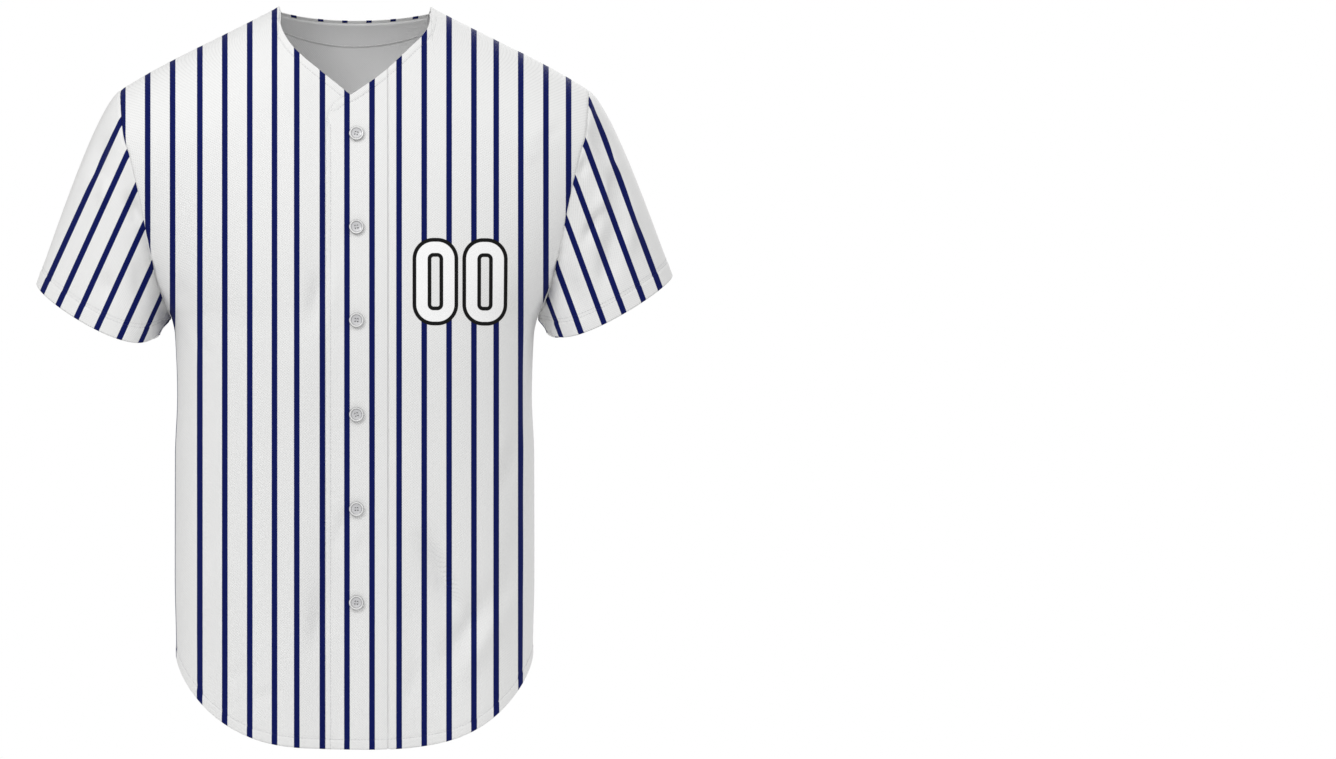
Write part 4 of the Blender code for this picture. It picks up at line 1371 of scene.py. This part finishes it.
class JERSEY_OT_sleeves(bpy.types.Operator):
    """Make the two sleeves"""

    bl_idname = "jersey.sleeves"
    bl_label = "Sleeves"

    def execute(self, context):
        cloth = context.scene.jersey_cloth
        half = round(74 * 3.5 * MM / cloth.cell)
        start = np.array([0.0, 0.005, 0.011, 0.018])
        levels = np.concatenate([start, np.linspace(0.028, 0.90, round(58 * 3.5 * MM / cloth.cell)), np.linspace(0.907, 1.0, 16)])
        for name, sleeve in SLEEVES.items():
            points = sleeve_grid(sleeve, half, levels)[::-1]
            middle = np.array([sleeve.side * 250 * MM, 0, -240 * MM])
            normals = grid_normals(points, True)
            if ((normals * (points - middle)).sum()) < 0:
                points = np.roll(points[:, ::-1], 1, axis=1)
                normals = grid_normals(points, True)
            relief = SLEEVE_SLACK * fold_height(SLEEVE_FOLDS[name], points[..., 0], points[..., 2])
            front = ease(-points[..., 1] / (52 * MM)) + 0.6 * ease(points[..., 1] / (52 * MM))
            relief *= front
            points = points + normals * relief[..., None]
            normals = grid_normals(points, True)
            relief = np.zeros_like(relief)
            seam_distance, seam_along = from_edge(points, np.concatenate([points[-1], points[-1, :1]]))
            hem_distance, hem_along = from_edge(points, np.concatenate([points[0], points[0, :1]]))
            relief += seam_relief(seam_distance, seam_along)
            relief += hem_relief(hem_distance, hem_along, cloth.cuff_hem)
            wall = cloth.wall + 0.7 * MM * (1 - ease((hem_distance - cloth.cuff_hem) / (1.5 * MM) + 0.5))
            outer = points + normals * relief[..., None]
            inner = points + normals * (0.6 * np.minimum(relief, 0) - wall)[..., None]
            roll = np.ones(points.shape[:2])
            roll[-1] = 0.12
            closed = np.concatenate([points, points[:, :1]], axis=1)
            maps = {"knit": knit_map(points, True), "stripes": sleeve_stripes(name, closed, half)}
            for at in (cloth.cuff_hem, cloth.cuff_hem + 3.6 * MM):
                lifted = with_stripes(outer + normals * THREAD_LIFT, maps["stripes"][:, :-1])
                line = contour(lifted, hem_distance, at)
                add_stitches("stitch_cuffs", np.concatenate([line, line[:1]]))
            piece = shell(f"jersey_{name}", outer, inner, roll, maps, closed=True)
            finish_piece(piece, name, cloth_materials("jersey cloth"))
        return {"FINISHED"}


class JERSEY_OT_stitching(bpy.types.Operator):
    """Sew the hems, the neckline, the cuffs and the placket"""

    bl_idname = "jersey.stitching"
    bl_label = "Stitching"

    def execute(self, context):
        sewing = context.scene.jersey_stitching
        # painted shade: the white thread is coloured grey so that the stitch lines look shadowed
        thread = material("white thread", thread_look, "white thread", linear(200, 200, 202), True)
        pale = material("pale thread", thread_look, "pale thread", linear(250, 250, 250))
        sizes = {"Pitch": sewing.pitch, "Length": sewing.length, "Radius": sewing.radius}
        if not PENDING_STITCHES:
            raise RuntimeError("the cloth comes before its stitching")
        for name, lines in PENDING_STITCHES.items():
            chosen = pale if name == "stitch_facing" else thread
            stitch_piece(name, lines, "jersey_cloth", chosen, **sizes)
        return {"FINISHED"}


class JERSEY_OT_buttons(bpy.types.Operator):
    """Turn the six buttons and sew them to the placket"""

    bl_idname = "jersey.buttons"
    bl_label = "Buttons"

    def execute(self, context):
        look = material("pearl resin", button_look)
        thread = material("button thread", thread_look, "button thread", linear(214, 214, 216))
        blank = button_mesh(context.scene.jersey_buttons.steps)
        for number, height in enumerate(BUTTON_HEIGHTS, start=1):
            x, z = np.array(BUTTON_X), np.array(height * MM)
            normal = Vector(outward(x, z, True))
            place = Vector(surface(x, z, True)) + normal * 0.35 * MM
            turn = Vector((0, 0, 1)).rotation_difference(normal).to_matrix().to_4x4()
            twist = Matrix.Rotation(math.radians((-14, 9, -5, 17, 3, -9)[number - 1]), 4, "Z")
            mesh = blank.copy()
            mesh.transform(Matrix.Translation(place) @ turn @ twist)
            piece = bpy.data.objects.new(f"jersey_button_{number}", mesh)
            context.scene.collection.objects.link(piece)
            finish_piece(piece, f"button_{number}", [look, thread])
        return {"FINISHED"}


class JERSEY_OT_stage(bpy.types.Operator):
    """Set up the floor, the lights and the camera"""

    bl_idname = "jersey.stage"
    bl_label = "Stage"

    def execute(self, context):
        stage = context.scene.jersey_stage
        builder = bmesh.new()
        bmesh.ops.create_circle(builder, cap_ends=True, segments=128, radius=0.65)
        bmesh.ops.translate(builder, vec=(0, 0, stage.floor_z), verts=builder.verts)
        mesh = bpy.data.meshes.new("floor")
        builder.to_mesh(mesh)
        builder.free()
        mesh.materials.append(material("floor", floor_look))
        floor = bpy.data.objects.new("floor", mesh)
        context.scene.collection.objects.link(floor)

        world = bpy.data.worlds.new("surroundings")
        world.use_nodes = True
        tree = world.node_tree
        shown = tree.nodes["Background"]
        shown.inputs["Color"].default_value = (1, 1, 1, 1)
        shown.inputs["Strength"].default_value = 1.0
        lit = tree.nodes.new("ShaderNodeBackground")
        lit.inputs["Strength"].default_value = stage.sky
        path = tree.nodes.new("ShaderNodeLightPath")
        both = tree.nodes.new("ShaderNodeMixShader")
        tree.links.new(path.outputs["Is Camera Ray"], both.inputs[0])
        tree.links.new(lit.outputs[0], both.inputs[1])
        tree.links.new(shown.outputs[0], both.inputs[2])
        tree.links.new(both.outputs[0], tree.nodes["World Output"].inputs[0])
        context.scene.world = world

        for lamp in LAMPS:
            self.light(context, *lamp[:-1], lamp.power * stage.lamps)

        camera = bpy.data.cameras.new("camera")
        camera.sensor_width = 36.0
        camera.lens = 36.0 * VIEW_DISTANCE / (1336 * 1.05 * MM)
        camera.shift_x = (668 - 354.5) / 1336
        camera.shift_y = 0.5 / 1336
        seen = bpy.data.objects.new("camera", camera)
        seen.location = (0, -VIEW_DISTANCE, VIEW_Z)
        seen.rotation_euler = (math.pi / 2, 0, 0)
        context.scene.collection.objects.link(seen)
        context.scene.camera = seen
        context.scene.view_settings.view_transform = "Standard"
        return {"FINISHED"}

    def light(self, context, name, place, target, size, power):
        lamp = bpy.data.lights.new(name, "AREA")
        lamp.size = size
        lamp.energy = power
        made = bpy.data.objects.new(name, lamp)
        made.location = place
        aim = Vector(target) - Vector(place)
        made.rotation_euler = aim.to_track_quat("-Z", "Y").to_euler()
        context.scene.collection.objects.link(made)


class JERSEY_PT_panel(bpy.types.Panel):
    """Sizes and colours of the jersey, and its pieces"""

    bl_label = "Baseball Jersey"
    bl_idname = "JERSEY_PT_panel"
    bl_space_type = "VIEW_3D"
    bl_region_type = "UI"
    bl_category = "Jersey"

    def draw(self, context):
        layout = self.layout
        for group in GROUPS:
            box = layout.box()
            settings = getattr(context.scene, group)
            for name in settings.__annotations__:
                box.prop(settings, name)
        for operator in OPERATORS:
            layout.operator(operator.bl_idname)


GROUPS = {
    "jersey_cloth": JerseyCloth,
    "jersey_stripes": JerseyStripes,
    "jersey_stitching": JerseyStitching,
    "jersey_buttons": JerseyButtons,
    "jersey_stage": JerseyStage,
}
OPERATORS = (
    JERSEY_OT_back,
    JERSEY_OT_fronts,
    JERSEY_OT_facing,
    JERSEY_OT_sleeves,
    JERSEY_OT_stitching,
    JERSEY_OT_buttons,
    JERSEY_OT_stage,
)


def register():
    for made in (*GROUPS.values(), *OPERATORS, JERSEY_PT_panel):
        bpy.utils.register_class(made)
    for name, group in GROUPS.items():
        setattr(bpy.types.Scene, name, bpy.props.PointerProperty(type=group))


def unregister():
    for name in GROUPS:
        delattr(bpy.types.Scene, name)
    for made in (JERSEY_PT_panel, *OPERATORS, *GROUPS.values()):
        bpy.utils.unregister_class(made)


def main():
    register()
    bpy.ops.jersey.back()
    bpy.ops.jersey.fronts()
    bpy.ops.jersey.facing()
    bpy.ops.jersey.sleeves()
    bpy.ops.jersey.stitching()
    bpy.ops.jersey.buttons()
    bpy.ops.jersey.stage()


if __name__ == "__main__":
    main()
